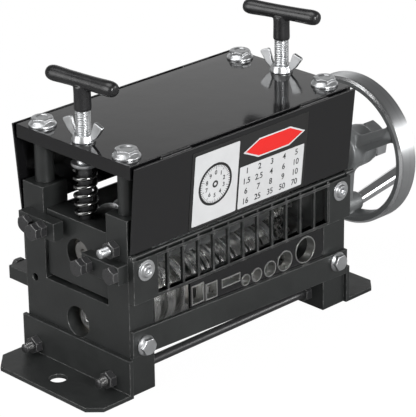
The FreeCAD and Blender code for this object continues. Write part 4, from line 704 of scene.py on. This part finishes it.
class STRIPPER_OT_fasteners(PieceMaker, bpy.types.Operator):
    """Bolts, nuts, studs and rods"""

    bl_idname = "stripper.fasteners"
    bl_label = "Fasteners"

    def make(self):
        for node in ("top_plate_bolts", "front_bar_bolts", "guide_comb_bolts"):
            soften(node, sizes().fine_round, "zinc_plating")
        for node in ("front_hinge_pins", "rear_hinge_pins"):
            soften(node, sizes().fine_round / 2, "drawn_steel")
        for node in ("tie_rod_nuts", "frame_screws", "adjusting_screws", "adjusting_lock_nuts"):
            soften(node, sizes().fine_round, "black_oxide")
        self.tie_rods()
        self.stud()

    def tie_rods(self):
        """Two long rods threaded at both ends."""
        pitch, depth = sizes().small_pitch / MM, 0.45
        end, crest, plain = 110.0, 109.5, 74.0
        half = ((0.1, -end), (2.5, -end), (2.98, -crest), (2.98, -plain))
        profile = half + tuple((radius, -height) for radius, height in reversed(half))
        stretches = ((-crest, -plain), (plain, crest))
        level = 9.0
        rods = []
        for across in (-32.5, 37.0):
            rod = threaded("tie_rod", profile, stretches, pitch, depth, count=30, per_turn=6)
            rods.append(lying(rod, 0, across, level))
        settle(joined("tie_rods_threaded", rods, ["black_oxide"]), "tie_rods")

    def stud(self):
        """Bright stud with a blackened nut on the left end plate."""
        pitch, depth = sizes().small_pitch / MM, 0.5
        across, level = -35.5, 96.0
        plain, crest, end = 15.0, 22.5, 23.0
        profile = ((0.1, 0.0), (2.98, 0.0), (2.98, plain), (2.98, crest), (2.5, end), (0.1, end))
        stem = threaded("stud", profile, ((plain, crest),), pitch, depth)
        sunk = 11.0
        stem = lying(stem, sunk - PLATE_OUTER, across, level, -1)
        settle(new_piece("side_stud_threaded", stem, ["zinc_plating"]), "side_stud")
        nut = lying(hexagonal("stud_nut", 9.9, 0.0, 5.0), -PLATE_OUTER, across, level, -1)
        piece = new_piece("side_stud_nut", nut, ["black_oxide"])
        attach(piece, body_of_node("side_stud"))


class STRIPPER_OT_shafts(PieceMaker, bpy.types.Operator):
    """Shafts, bushes, keys and gears"""

    bl_idname = "stripper.shafts"
    bl_label = "Shafts and gears"

    def make(self):
        fine = sizes().fine_round
        for finish, nodes in (
            ("dull_shaft", ("upper_shaft",)),
            ("upper_turned", ("upper_gear", "blade_spacers")),
            ("lower_turned", ("lower_shaft", "lower_gear", "lower_shaft_collars")),
            ("upper_bush", ("upper_bushes",)),
            ("lower_bush", ("lower_bushes",)),
            ("zinc_plating", ("hub_washer", "hub_nut", "crank_stud")),
        ):
            for node in nodes:
                soften(node, fine, finish)
        for node in ("upper_shaft_keys", "lower_shaft_key", "guide_sleeves"):
            soften(node, fine / 2, "drawn_steel")


class STRIPPER_OT_discs(PieceMaker, bpy.types.Operator):
    """Cutting discs and feed rollers, the first four knurled"""

    bl_idname = "stripper.discs"
    bl_label = "Discs and rollers"

    FIRST_WALL, PITCH = -67.4, 12.94  # wire channels, from the left
    ROLLERS, KNURLED = 10, 4
    FIRST_DEPTH = 4.0  # first groove; each further one is 1 mm deeper
    BORE, HUB_HALF = 8.1, 6.4
    # The hub's end from its bore outwards, which all rollers share.
    HUB = ((BORE, -HUB_HALF), (12.8, -HUB_HALF), (13.0, -6.2))

    def make(self):
        soften("cutting_blades", 0.08 * MM, "blade_steel")
        rollers = []
        for step in range(self.ROLLERS):
            if step < self.KNURLED:
                roller = self.knurled()
            else:
                roller = self.grooved(self.FIRST_DEPTH + step - self.KNURLED)
            middle = self.FIRST_WALL + self.PITCH * (step + 0.5)
            rollers.append(lying(roller, middle, 0, LOWER_AXIS))
        settle(joined("feed_rollers_turned", rollers, ["lower_turned"]), "feed_rollers")

    def grooved(self, depth):
        """Roller with a V groove between two crowned rims."""
        reach = depth * math.tan(math.radians(30))
        half = self.HUB + ((13.0, -5.6), (21.6, -5.6), (21.95, -5.3), (21.95, -reach - 0.15),
                           (21.75, -reach), (22.1 - depth, -0.2))
        profile = half + tuple((radius, -height) for radius, height in reversed(half))
        return turned("grooved", profile, 128)

    def knurled(self):
        """Narrow roller with crossed ridges around it."""
        teeth = sizes().knurl_teeth
        count, half_width, depth, lines = teeth * 4, 3.5, 0.45, 24
        outside, chamfer, margin = 20.95, 20.3, 0.25
        lean = teeth / 21.0
        half = self.HUB + ((13.0, -half_width), (chamfer, -half_width))
        rows = [ring(radius, height, count) for radius, height in half]
        for line in range(lines + 1):
            level = -half_width + margin + 2 * (half_width - margin) * line / lines

            def diamond(angle, level=level):
                rise, fall = teeth * angle + lean * level, teeth * angle - lean * level
                return -depth * (0.5 - 0.25 * (math.cos(rise) + math.cos(fall)))

            rows.append(ring(outside, level, count, diamond))
        rows += [ring(radius, -height, count) for radius, height in reversed(half)]
        return grid_mesh("knurled", rows, smooth=45)


class STRIPPER_OT_pressure(PieceMaker, bpy.types.Operator):
    """Pressure screws with their threads, springs, T handles and wing nuts"""

    bl_idname = "stripper.pressure"
    bl_label = "Pressure screws"

    BAR_HEIGHT = {"left": 191.5, "right": 193.5}
    BAR_TURN = {"left": 5.0, "right": 13.0}
    WING_TURN = {"left": 96.0, "right": 100.0}
    SPRING_FOOT, SPRING_TOP = 103.0, 136.8
    SPRING_RADIUS, SPRING_WIRE = 6.3, 2.8
    SCREW_FOOT, COLLAR_TOP, CREST = 96.3, 139.95, 4.85

    def make(self):
        for side in SIDES:
            self.screw(side)
            self.spring(side)
            self.handle(side)
            self.wing_nut(side)

    def screw(self, side):
        """Threaded rod with its collar; the part inside the spring takes the dark black oxide finish
        as painted shade.
        """
        end = self.BAR_HEIGHT[side] - 6.0
        profile = ((0.4, self.SCREW_FOOT), (3.6, self.SCREW_FOOT), (4.15, 96.9), (4.15, 136.9),
                   (6.4, 137.0), (7.7, 137.3), (8.4, 138.1), (8.45, 139.5), (8.0, 139.9),
                   (self.CREST, self.COLLAR_TOP), (self.CREST, end), (0.4, end))
        pitch, depth = sizes().press_pitch / MM, 0.62
        data = threaded(f"{side}_screw", profile, ((self.COLLAR_TOP, end),), pitch, depth)
        moved(data, at_place(SIDES[side] * PLATE_MIDDLE, 0, 0))
        piece = new_piece(f"{side}_screw_threaded", data, ["zinc_plating", "black_oxide"])
        # Faces below the spring's top take the dark second slot: painted shade inside the coil.
        for face in piece.data.polygons:
            if face.center.z < self.SPRING_TOP * MM:
                face.material_index = 1
        settle(piece, f"{side}_screw_rod")

    def spring(self, side):
        """Round wire on a helix that closes up flat at both ends."""
        wire, radius = self.SPRING_WIRE, self.SPRING_RADIUS
        turns = sizes().spring_turns
        steps, around = int(turns * 36), 14
        bottom, top = self.SPRING_FOOT + wire / 2, self.SPRING_TOP - wire / 2
        rise = (top - bottom) / (2 * math.pi * turns * radius)
        rows = []
        for step in range(steps + 1):
            share = step / steps
            angle = 2 * math.pi * turns * share
            outward = Vector((math.cos(angle), math.sin(angle), 0))
            centre = outward * radius + Vector((0, 0, bottom + (top - bottom) * share))
            along = Vector((-math.sin(angle), math.cos(angle), rise)).normalized()
            upward = outward.cross(along).normalized()
            row = []
            for part in range(around):
                spin = 2 * math.pi * part / around
                point = centre + (outward * math.cos(spin) + upward * math.sin(spin)) * wire / 2
                point.z = min(max(point.z, self.SPRING_FOOT), self.SPRING_TOP)
                row.append(point * MM)
            rows.append(row)
        data = grid_mesh(f"{side}_spring", rows, smooth=40)
        moved(data, at_place(SIDES[side] * PLATE_MIDDLE, 0, 0))
        piece = new_piece(f"{side}_spring_coil", data, ["spring_steel"])
        settle(piece, f"{side}_pressure_spring")
        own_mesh(piece)

    def handle(self, side):
        """Tapered bar with bulging ends that flows into its neck."""
        half = ((0.05, -28.0), (2.5, -27.9), (3.6, -27.3), (4.5, -25.7), (4.95, -23.3),
                (4.95, -20.7), (4.8, -16.0), (4.65, -10.0), (4.6, 0.0))
        profile = half + tuple((radius, -height) for radius, height in reversed(half[:-1]))
        bar = moved(turned(f"{side}_bar", profile), Matrix.Rotation(math.radians(90), 4, "X"))
        neck_profile = ((0.1, -18.4), (4.9, -18.4), (5.35, -18.1), (5.45, -17.2), (5.35, -12.0),
                        (5.3, -8.0), (5.4, -4.6), (5.4, -2.5), (0.1, -1.0))
        neck = turned(f"{side}_neck", neck_profile)
        piece = joined(f"{side}_t_handle_moulded", [bar, neck], ["handle_plastic"])
        melted(piece, 0.55 * MM, 7)
        place = (SIDES[side] * PLATE_MIDDLE, 0, self.BAR_HEIGHT[side])
        moved(piece.data, at_place(*place, self.BAR_TURN[side]))
        settle(piece, f"{side}_t_handle")

    def wing_nut(self, side):
        """Cast hub and ears melted together, with the thread's hole sunk in the top."""
        bore, height = 5.05, 4.8
        profile = ((bore, 0.0), (7.3, 0.0), (7.55, 0.3), (7.3, 1.6), (6.5, 4.4), (6.2, height),
                   (bore, height))
        parts = [turned(f"{side}_hub", profile)]
        outline = ((5.4, 0.8), (7.3, 1.0), (11.6, 4.6), (15.7, 10.3), (15.9, 11.0), (15.3, 11.9),
                   (10.5, 13.8), (9.6, 13.7), (9.2, 13.0), (6.3, 4.6), (5.4, 4.4))
        for direction in (-1, 1):
            rows = [[(direction * along * MM, across * MM, up * MM) for along, up in outline]
                    for across in (-1.2, 1.2)]
            parts.append(grid_mesh(f"{side}_ear", rows))
        piece = joined(f"{side}_wing_nut_cast", parts, ["zinc_plating"])
        melted(piece, 0.3 * MM, 3)
        moved(piece.data, at_place(SIDES[side] * PLATE_MIDDLE, 0, TOP_FACE, self.WING_TURN[side]))
        settle(piece, f"{side}_wing_nut")


class STRIPPER_OT_handwheel(PieceMaker, bpy.types.Operator):
    """Cast handwheel with a turned rim, and its crank grip"""

    bl_idname = "stripper.handwheel"
    bl_label = "Handwheel"

    SPOKES = (32, 152, 272)  # degrees
    HUB_START = 142.0
    BOSS_PLACE = (145.0, 1.47, 38.53)

    def make(self):
        forms = [self.hub(), *map(self.spoke, self.SPOKES), self.boss()]
        casting = joined("wheel_casting", forms, ["wheel_paint"])
        skin = melted(casting, 0.6 * MM, 5).data
        bpy.data.objects.remove(casting)
        piece = joined("handwheel_cast_and_turned", [skin, self.rim()],
                       ["wheel_paint", "wheel_turned", "wheel_edge"])
        settle(piece, "handwheel")
        soften("crank_grip", sizes().fine_round, "chrome")

    def hub(self):
        bore, length = 8.1, 23.9
        profile = ((bore, 0.1), (13.4, 0.1), (14.4, 1.0), (14.6, 3.0), (14.1, 21.5), (13.4, 23.6),
                   (12.6, length), (bore, length))
        return lying(turned("wheel_hub", profile), self.HUB_START, 0, UPPER_AXIS)

    def boss(self):
        profile = ((0.1, 0.2), (5.6, 0.2), (6.5, 0.7), (6.9, 1.8), (6.9, 16.4), (6.3, 17.3),
                   (0.1, 17.4))
        return lying(turned("crank_boss", profile), *self.BOSS_PLACE)

    def spoke(self, angle):
        """Spoke with a ridge towards the machine that widens into hub and rim."""
        start, end, steps = 9.0, 48.6, 24
        hub_foot, rim_foot, fillet = 12.0, 46.5, 6.0
        half_start, taper = 6.4, 35.0
        hub_flare, rim_flare = 2.6, 3.0
        ridge_place, ridge_drop, ridge_fade = 145.1, 2.6, 7.0
        rows = []
        for step in range(steps + 1):
            reach = start + (end - start) * step / steps
            near_hub = max(0.0, 1 - (reach - hub_foot) / fillet)
            near_rim = max(0.0, 1 - (rim_foot - reach) / fillet)
            half = half_start - reach / taper + hub_flare * near_hub ** 2 + rim_flare * near_rim ** 2
            ridge = ridge_place + ridge_drop * max(0.0, 1 - (rim_foot - reach) / ridge_fade) ** 2
            side = ((153.0, half - 0.6), (152.3, half), (149.8, half), (149.1, half - 0.5),
                    (ridge, 1.0))
            section = side + tuple((along, -across) for along, across in reversed(side))
            rows.append([(along * MM, reach * MM, across * MM) for along, across in section])
        turn = Matrix.Rotation(math.radians(angle), 4, "X")
        return moved(grid_mesh("spoke", rows), Matrix.Translation((0, 0, UPPER_AXIS * MM)) @ turn)

    def rim(self):
        """Rim with a turned band and burnished corners between painted sides; the corners' light
        finish is partly a painted highlight.
        """
        section = ((146.6, 48.6), (146.6, 50.3), (147.9, 51.9), (161.1, 51.9), (162.4, 50.3),
                   (162.4, 48.6), (162.3, 47.6), (161.7, 46.8), (160.9, 46.3), (159.8, 46.1),
                   (154.5, 46.0), (149.2, 46.1), (148.1, 46.3), (147.3, 46.8), (146.7, 47.6))
        finishes = {1: 2, 2: 1, 3: 2}  # slot of the faces after each corner of the section
        steps = 180
        rows = []
        for step in range(steps):
            angle = 2 * math.pi * step / steps
            rows.append([(along * MM, radius * MM * math.cos(angle),
                          (UPPER_AXIS + radius * math.sin(angle)) * MM)
                         for along, radius in section])
        data = grid_mesh("wheel_rim", rows, looped=True, smooth=28)
        for face in data.polygons:
            face.material_index = finishes.get(face.index % len(section), 0)
        return data


class STRIPPER_OT_label(PieceMaker, bpy.types.Operator):
    """Label plate with a numbered dial, a red field and a number chart"""

    bl_idname = "stripper.label"
    bl_label = "Label"

    LEAN = math.radians(5.8)
    UPWARD = Vector((0, -math.sin(LEAN), math.cos(LEAN)))
    OUTWARD = Vector((0, -math.cos(LEAN), -math.sin(LEAN)))
    # How far the fields, the numbers and the other print stand out.
    FILM, NUMBERS, INK = 0.02, 0.035, 0.04
    FONT_SIZE = 1.38  # size of the font for each millimetre of a number's height
    BOLDER = 0.09  # added around each number's outline
    NUMBER_HALF = 0.008  # half the thickness of a number

    def make(self):
        soften("front_label", 0.04 * MM, "label_black")
        corners = [vertex.co for vertex in NODES["front_label"].data.vertices]
        face = max(corner.dot(self.OUTWARD) for corner in corners)
        foot = min(corner.dot(self.UPWARD) for corner in corners)
        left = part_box("front_label")[0].x
        self.origin = Vector((left, 0, 0)) + self.OUTWARD * face + self.UPWARD * foot
        self.field("label_dial_field", self.rounded(2.5, 1.6, 40.4, 49.6), "label_white", self.FILM)
        self.field("label_chart_field", self.rounded(42.0, 1.6, 99.4, 30.6), "label_white",
                   self.FILM)
        outer = ((43.9, 39.9), (57.7, 33.4), (85.2, 33.4), (99.1, 39.9), (85.2, 46.4), (57.7, 46.4))
        self.field("label_outline_field", outer, "label_white", self.FILM)
        inner = ((46.3, 39.9), (58.0, 34.4), (84.9, 34.4), (96.7, 39.9), (84.9, 45.4), (58.0, 45.4))
        self.field("label_red_field", inner, "label_red", self.INK)
        self.dial()
        self.chart()

    def on_label(self, across, up, lift):
        """The point at those millimetres from the label's lower left corner."""
        return (self.origin + Vector((across * MM, 0, 0)) + self.UPWARD * (up * MM)
                + self.OUTWARD * (lift * MM))

    def rounded(self, left, low, right, high):
        """Outline of a field with rounded corners."""
        radius, steps = 0.8, 4
        left, low, right, high = left + radius, low + radius, right - radius, high - radius
        points = []
        for start, across, up in ((-90, right, low), (0, right, high), (90, left, high),
                                  (180, left, low)):
            for step in range(steps + 1):
                angle = math.radians(start + 90 * step / steps)
                points.append((across + radius * math.cos(angle), up + radius * math.sin(angle)))
        return points

    def stick(self, piece):
        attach(piece, body_of_node("front_label"))

    def field(self, name, outline, finish, lift):
        rows = [[self.on_label(across, up, height) for across, up in outline]
                for height in (0.0, lift)]
        self.stick(new_piece(name, grid_mesh(name, rows), [finish]))

    def band(self, name, centre, inner, outer, start, end, steps):
        """A flat arc band in degrees."""
        rows = []
        for step in range(steps + 1):
            angle = math.radians(start + (end - start) * step / steps)
            across, up = math.cos(angle), math.sin(angle)
            corners = ((inner, self.FILM), (inner, self.INK), (outer, self.INK), (outer, self.FILM))
            rows.append([self.on_label(centre[0] + across * reach, centre[1] + up * reach, height)
                         for reach, height in corners])
        whole = end - start >= 360
        return grid_mesh(name, rows[:-1] if whole else rows, looped=whole)

    def number(self, text, across, up, height):
        """A number centred on its place."""
        curve = bpy.data.curves.new("number", "FONT")
        curve.body = text
        curve.size = height * MM * self.FONT_SIZE
        curve.align_x = "CENTER"
        curve.align_y = "CENTER"
        curve.extrude = self.NUMBER_HALF * MM
        curve.offset = self.BOLDER * MM
        holder = in_scene("number", curve)
        graph = bpy.context.evaluated_depsgraph_get()
        data = bpy.data.meshes.new_from_object(holder.evaluated_get(graph))
        bpy.data.objects.remove(holder)
        bpy.data.curves.remove(curve)
        axes = Matrix((Vector((1, 0, 0)), self.UPWARD, self.OUTWARD)).transposed().to_4x4()
        place = self.on_label(across, up, self.NUMBERS)
        return moved(data, Matrix.Translation(place) @ axes)

    def printed(self, name, parts):
        piece = joined(name, parts, ["label_black"])
        face_outwards(piece.data)
        self.stick(piece)

    def dial(self):
        """Ring, divisions and the numbers of a ten part dial."""
        centre = (20.9, 26.1)
        numbers, divisions = 10, 50
        parts = [self.band("dial_ring", centre, 12.5, 14.2, 0, 360, 72),
                 self.band("dial_hub", centre, 1.1, 2.4, 0, 360, 36)]
        for step in range(divisions):
            angle = 90 - 360 / divisions * step
            reach = 11.2 if step % (divisions // numbers) else 9.9
            parts.append(self.band("dial_mark", centre, reach, 12.6, angle - 0.9, angle + 0.9, 1))
        for step in range(numbers):
            angle = math.radians(90 - 360 / numbers * step)
            across, up = 7.7 * math.cos(angle), 7.7 * math.sin(angle)
            parts.append(self.number(str(step), centre[0] + across, centre[1] + up, 2.9))
        self.printed("label_dial", parts)

    def chart(self):
        """Channel numbers over their cable sizes."""
        rows = (("1", "2", "3", "4", "5"), ("1.5", "2.5", "4", "6", "10"),
                ("6", "7", "8", "9", "10"), ("16", "25", "35", "50", "70"))
        left, top = 48.6, 26.6
        column_pitch, line_pitch = 11.0, 7.0
        parts = []
        for line, numbers in enumerate(rows):
            for column, text in enumerate(numbers):
                across, up = left + column_pitch * column, top - line_pitch * line
                parts.append(self.number(text, across, up, 4.1))
        self.printed("label_chart", parts)


class STRIPPER_OT_stage(PieceMaker, bpy.types.Operator):
    """Pale floor, soft lights and the camera"""

    bl_idname = "stripper.stage"
    bl_label = "Stage"

    def make(self):
        self.floor()
        self.surroundings()
        self.lights()
        self.camera()

    def floor(self):
        """White to the camera and dull grey to everything that mirrors it."""
        side = 6.0
        corners = [(-side, -side, 0), (side, -side, 0), (side, side, 0), (-side, side, 0)]
        data = bpy.data.meshes.new("floor_mesh")
        data.from_pydata(corners, [], [(0, 1, 2, 3)])
        floor = in_scene("floor", data)
        pale = bpy.data.materials.new("Pale floor")
        pale.use_nodes = True
        tree, nodes = Tree(pale.node_tree), pale.node_tree.nodes
        dull = nodes["Principled BSDF"]
        dull.inputs["Base Color"].default_value = (0.3, 0.3, 0.3, 1)
        dull.inputs["Roughness"].default_value = 0.8
        dull.inputs["Specular IOR Level"].default_value = 0.0
        white = tree.add("ShaderNodeEmission", {"Strength": 1.05})
        seen = tree.add("ShaderNodeLightPath").outputs["Is Camera Ray"]
        share = tree.maths("MULTIPLY", seen, 0.94)
        mix = tree.add("ShaderNodeMixShader", {0: share, 1: dull.outputs[0], 2: white.outputs[0]})
        tree.feed(mix.outputs[0], nodes["Material Output"].inputs["Surface"])
        data.materials.append(pale)

    def surroundings(self):
        """White to the camera; to the object, a glow low behind it that fades upwards."""
        world = bpy.data.worlds.new("Studio")
        bpy.context.scene.world = world
        world.use_nodes = True
        tree, nodes = Tree(world.node_tree), world.node_tree.nodes
        around = nodes["Background"]
        around.inputs["Color"].default_value = (1, 1, 1, 1)
        seen = tree.add("ShaderNodeBackground", {"Color": (1, 1, 1, 1), "Strength": 1.0})
        low_behind = Vector((0.35, 0.365, -0.86)).normalized()
        facing = tree.add("ShaderNodeVectorMath", {
            0: tree.add("ShaderNodeTexCoord").outputs["Generated"], 1: low_behind,
        }, operation="DOT_PRODUCT").outputs["Value"]
        glow = tree.add("ShaderNodeMapRange", {
            "Value": facing, "From Min": 0.07, "From Max": 0.25, "To Min": 0.14, "To Max": 1.0,
        }, interpolation_type="SMOOTHSTEP")
        tree.feed(glow.outputs["Result"], around.inputs["Strength"])
        mix = tree.add("ShaderNodeMixShader", {
            0: tree.add("ShaderNodeLightPath").outputs["Is Camera Ray"],
            1: around.outputs[0], 2: seen.outputs[0],
        })
        tree.feed(mix.outputs[0], nodes["World Output"].inputs["Surface"])

    def lights(self):
        """Square lamps: place, target, side in metres and power in watts."""
        for name, place, target, size, power in (
            ("Left softbox", (-1.7, 0.5, 0.55), (0, 0, 0.08), 1.3, 24),
            ("Top softbox", (-0.5, 0.3, 1.7), (0, 0, 0.1), 1.2, 16),
            ("Near fill", (-0.5, -1.5, 0.55), (0, 0, 0.06), 0.4, 30),
            ("Right softbox", (1.2, -1.5, 0.5), (0, 0, 0.08), 0.8, 13),
        ):
            lamp = bpy.data.lights.new(name, "AREA")
            lamp.shape = "SQUARE"
            lamp.size = size
            lamp.energy = power
            holder = in_scene(name, lamp)
            holder.location = place
            ray = Vector(target) - Vector(place)
            holder.rotation_euler = ray.to_track_quat("-Z", "Y").to_euler()
        bpy.context.scene.view_settings.view_transform = "Standard"

    def camera(self):
        place = (-0.94466, -0.98988, 0.66259)
        sight = Vector((0.63957, 0.66220, -0.39047)).normalized()
        roll = math.radians(-0.847)
        level = sight.cross(Vector((0, 0, 1))).normalized()
        upright = level.cross(sight)
        right = level * math.cos(roll) + upright * math.sin(roll)
        top = upright * math.cos(roll) - level * math.sin(roll)
        lens = bpy.data.cameras.new("Camera")
        lens.sensor_fit = "HORIZONTAL"
        lens.sensor_width = 36.0
        lens.lens = 201.38
        lens.shift_x = 0.0168
        lens.clip_start = 0.05
        camera = in_scene("Camera", lens)
        axes = Matrix((right, top, -sight)).transposed().to_4x4()
        camera.matrix_world = Matrix.Translation(place) @ axes
        bpy.context.scene.camera = camera


# ---------------------------------------------------------------- panel and registration


OPERATORS = (
    STRIPPER_OT_frame,
    STRIPPER_OT_fasteners,
    STRIPPER_OT_shafts,
    STRIPPER_OT_discs,
    STRIPPER_OT_pressure,
    STRIPPER_OT_handwheel,
    STRIPPER_OT_label,
    STRIPPER_OT_stage,
)


class STRIPPER_PT_panel(bpy.types.Panel):
    """Wire stripper pieces, sizes and colours."""

    bl_label = "Wire Stripper"
    bl_idname = "STRIPPER_PT_panel"
    bl_space_type = "VIEW_3D"
    bl_region_type = "UI"
    bl_category = "Wire Stripper"

    def draw(self, context):
        for operator in OPERATORS:
            self.layout.operator(operator.bl_idname)
        for group in (context.scene.stripper_sizes, context.scene.stripper_colours):
            for name in group.bl_rna.properties.keys():
                if name not in ("rna_type", "name"):
                    self.layout.prop(group, name)


CLASSES = (StripperSizes, StripperColours, *OPERATORS, STRIPPER_PT_panel)


def register():
    for kind in CLASSES:
        bpy.utils.register_class(kind)
    bpy.types.Scene.stripper_sizes = PointerProperty(type=StripperSizes)
    bpy.types.Scene.stripper_colours = PointerProperty(type=StripperColours)


def unregister():
    del bpy.types.Scene.stripper_colours
    del bpy.types.Scene.stripper_sizes
    for kind in reversed(CLASSES):
        bpy.utils.unregister_class(kind)


def main():
    register()
    make_finishes()
    for operator in OPERATORS:
        group, name = operator.bl_idname.split(".")
        getattr(getattr(bpy.ops, group), name)()


if __name__ == "__main__":
    main()
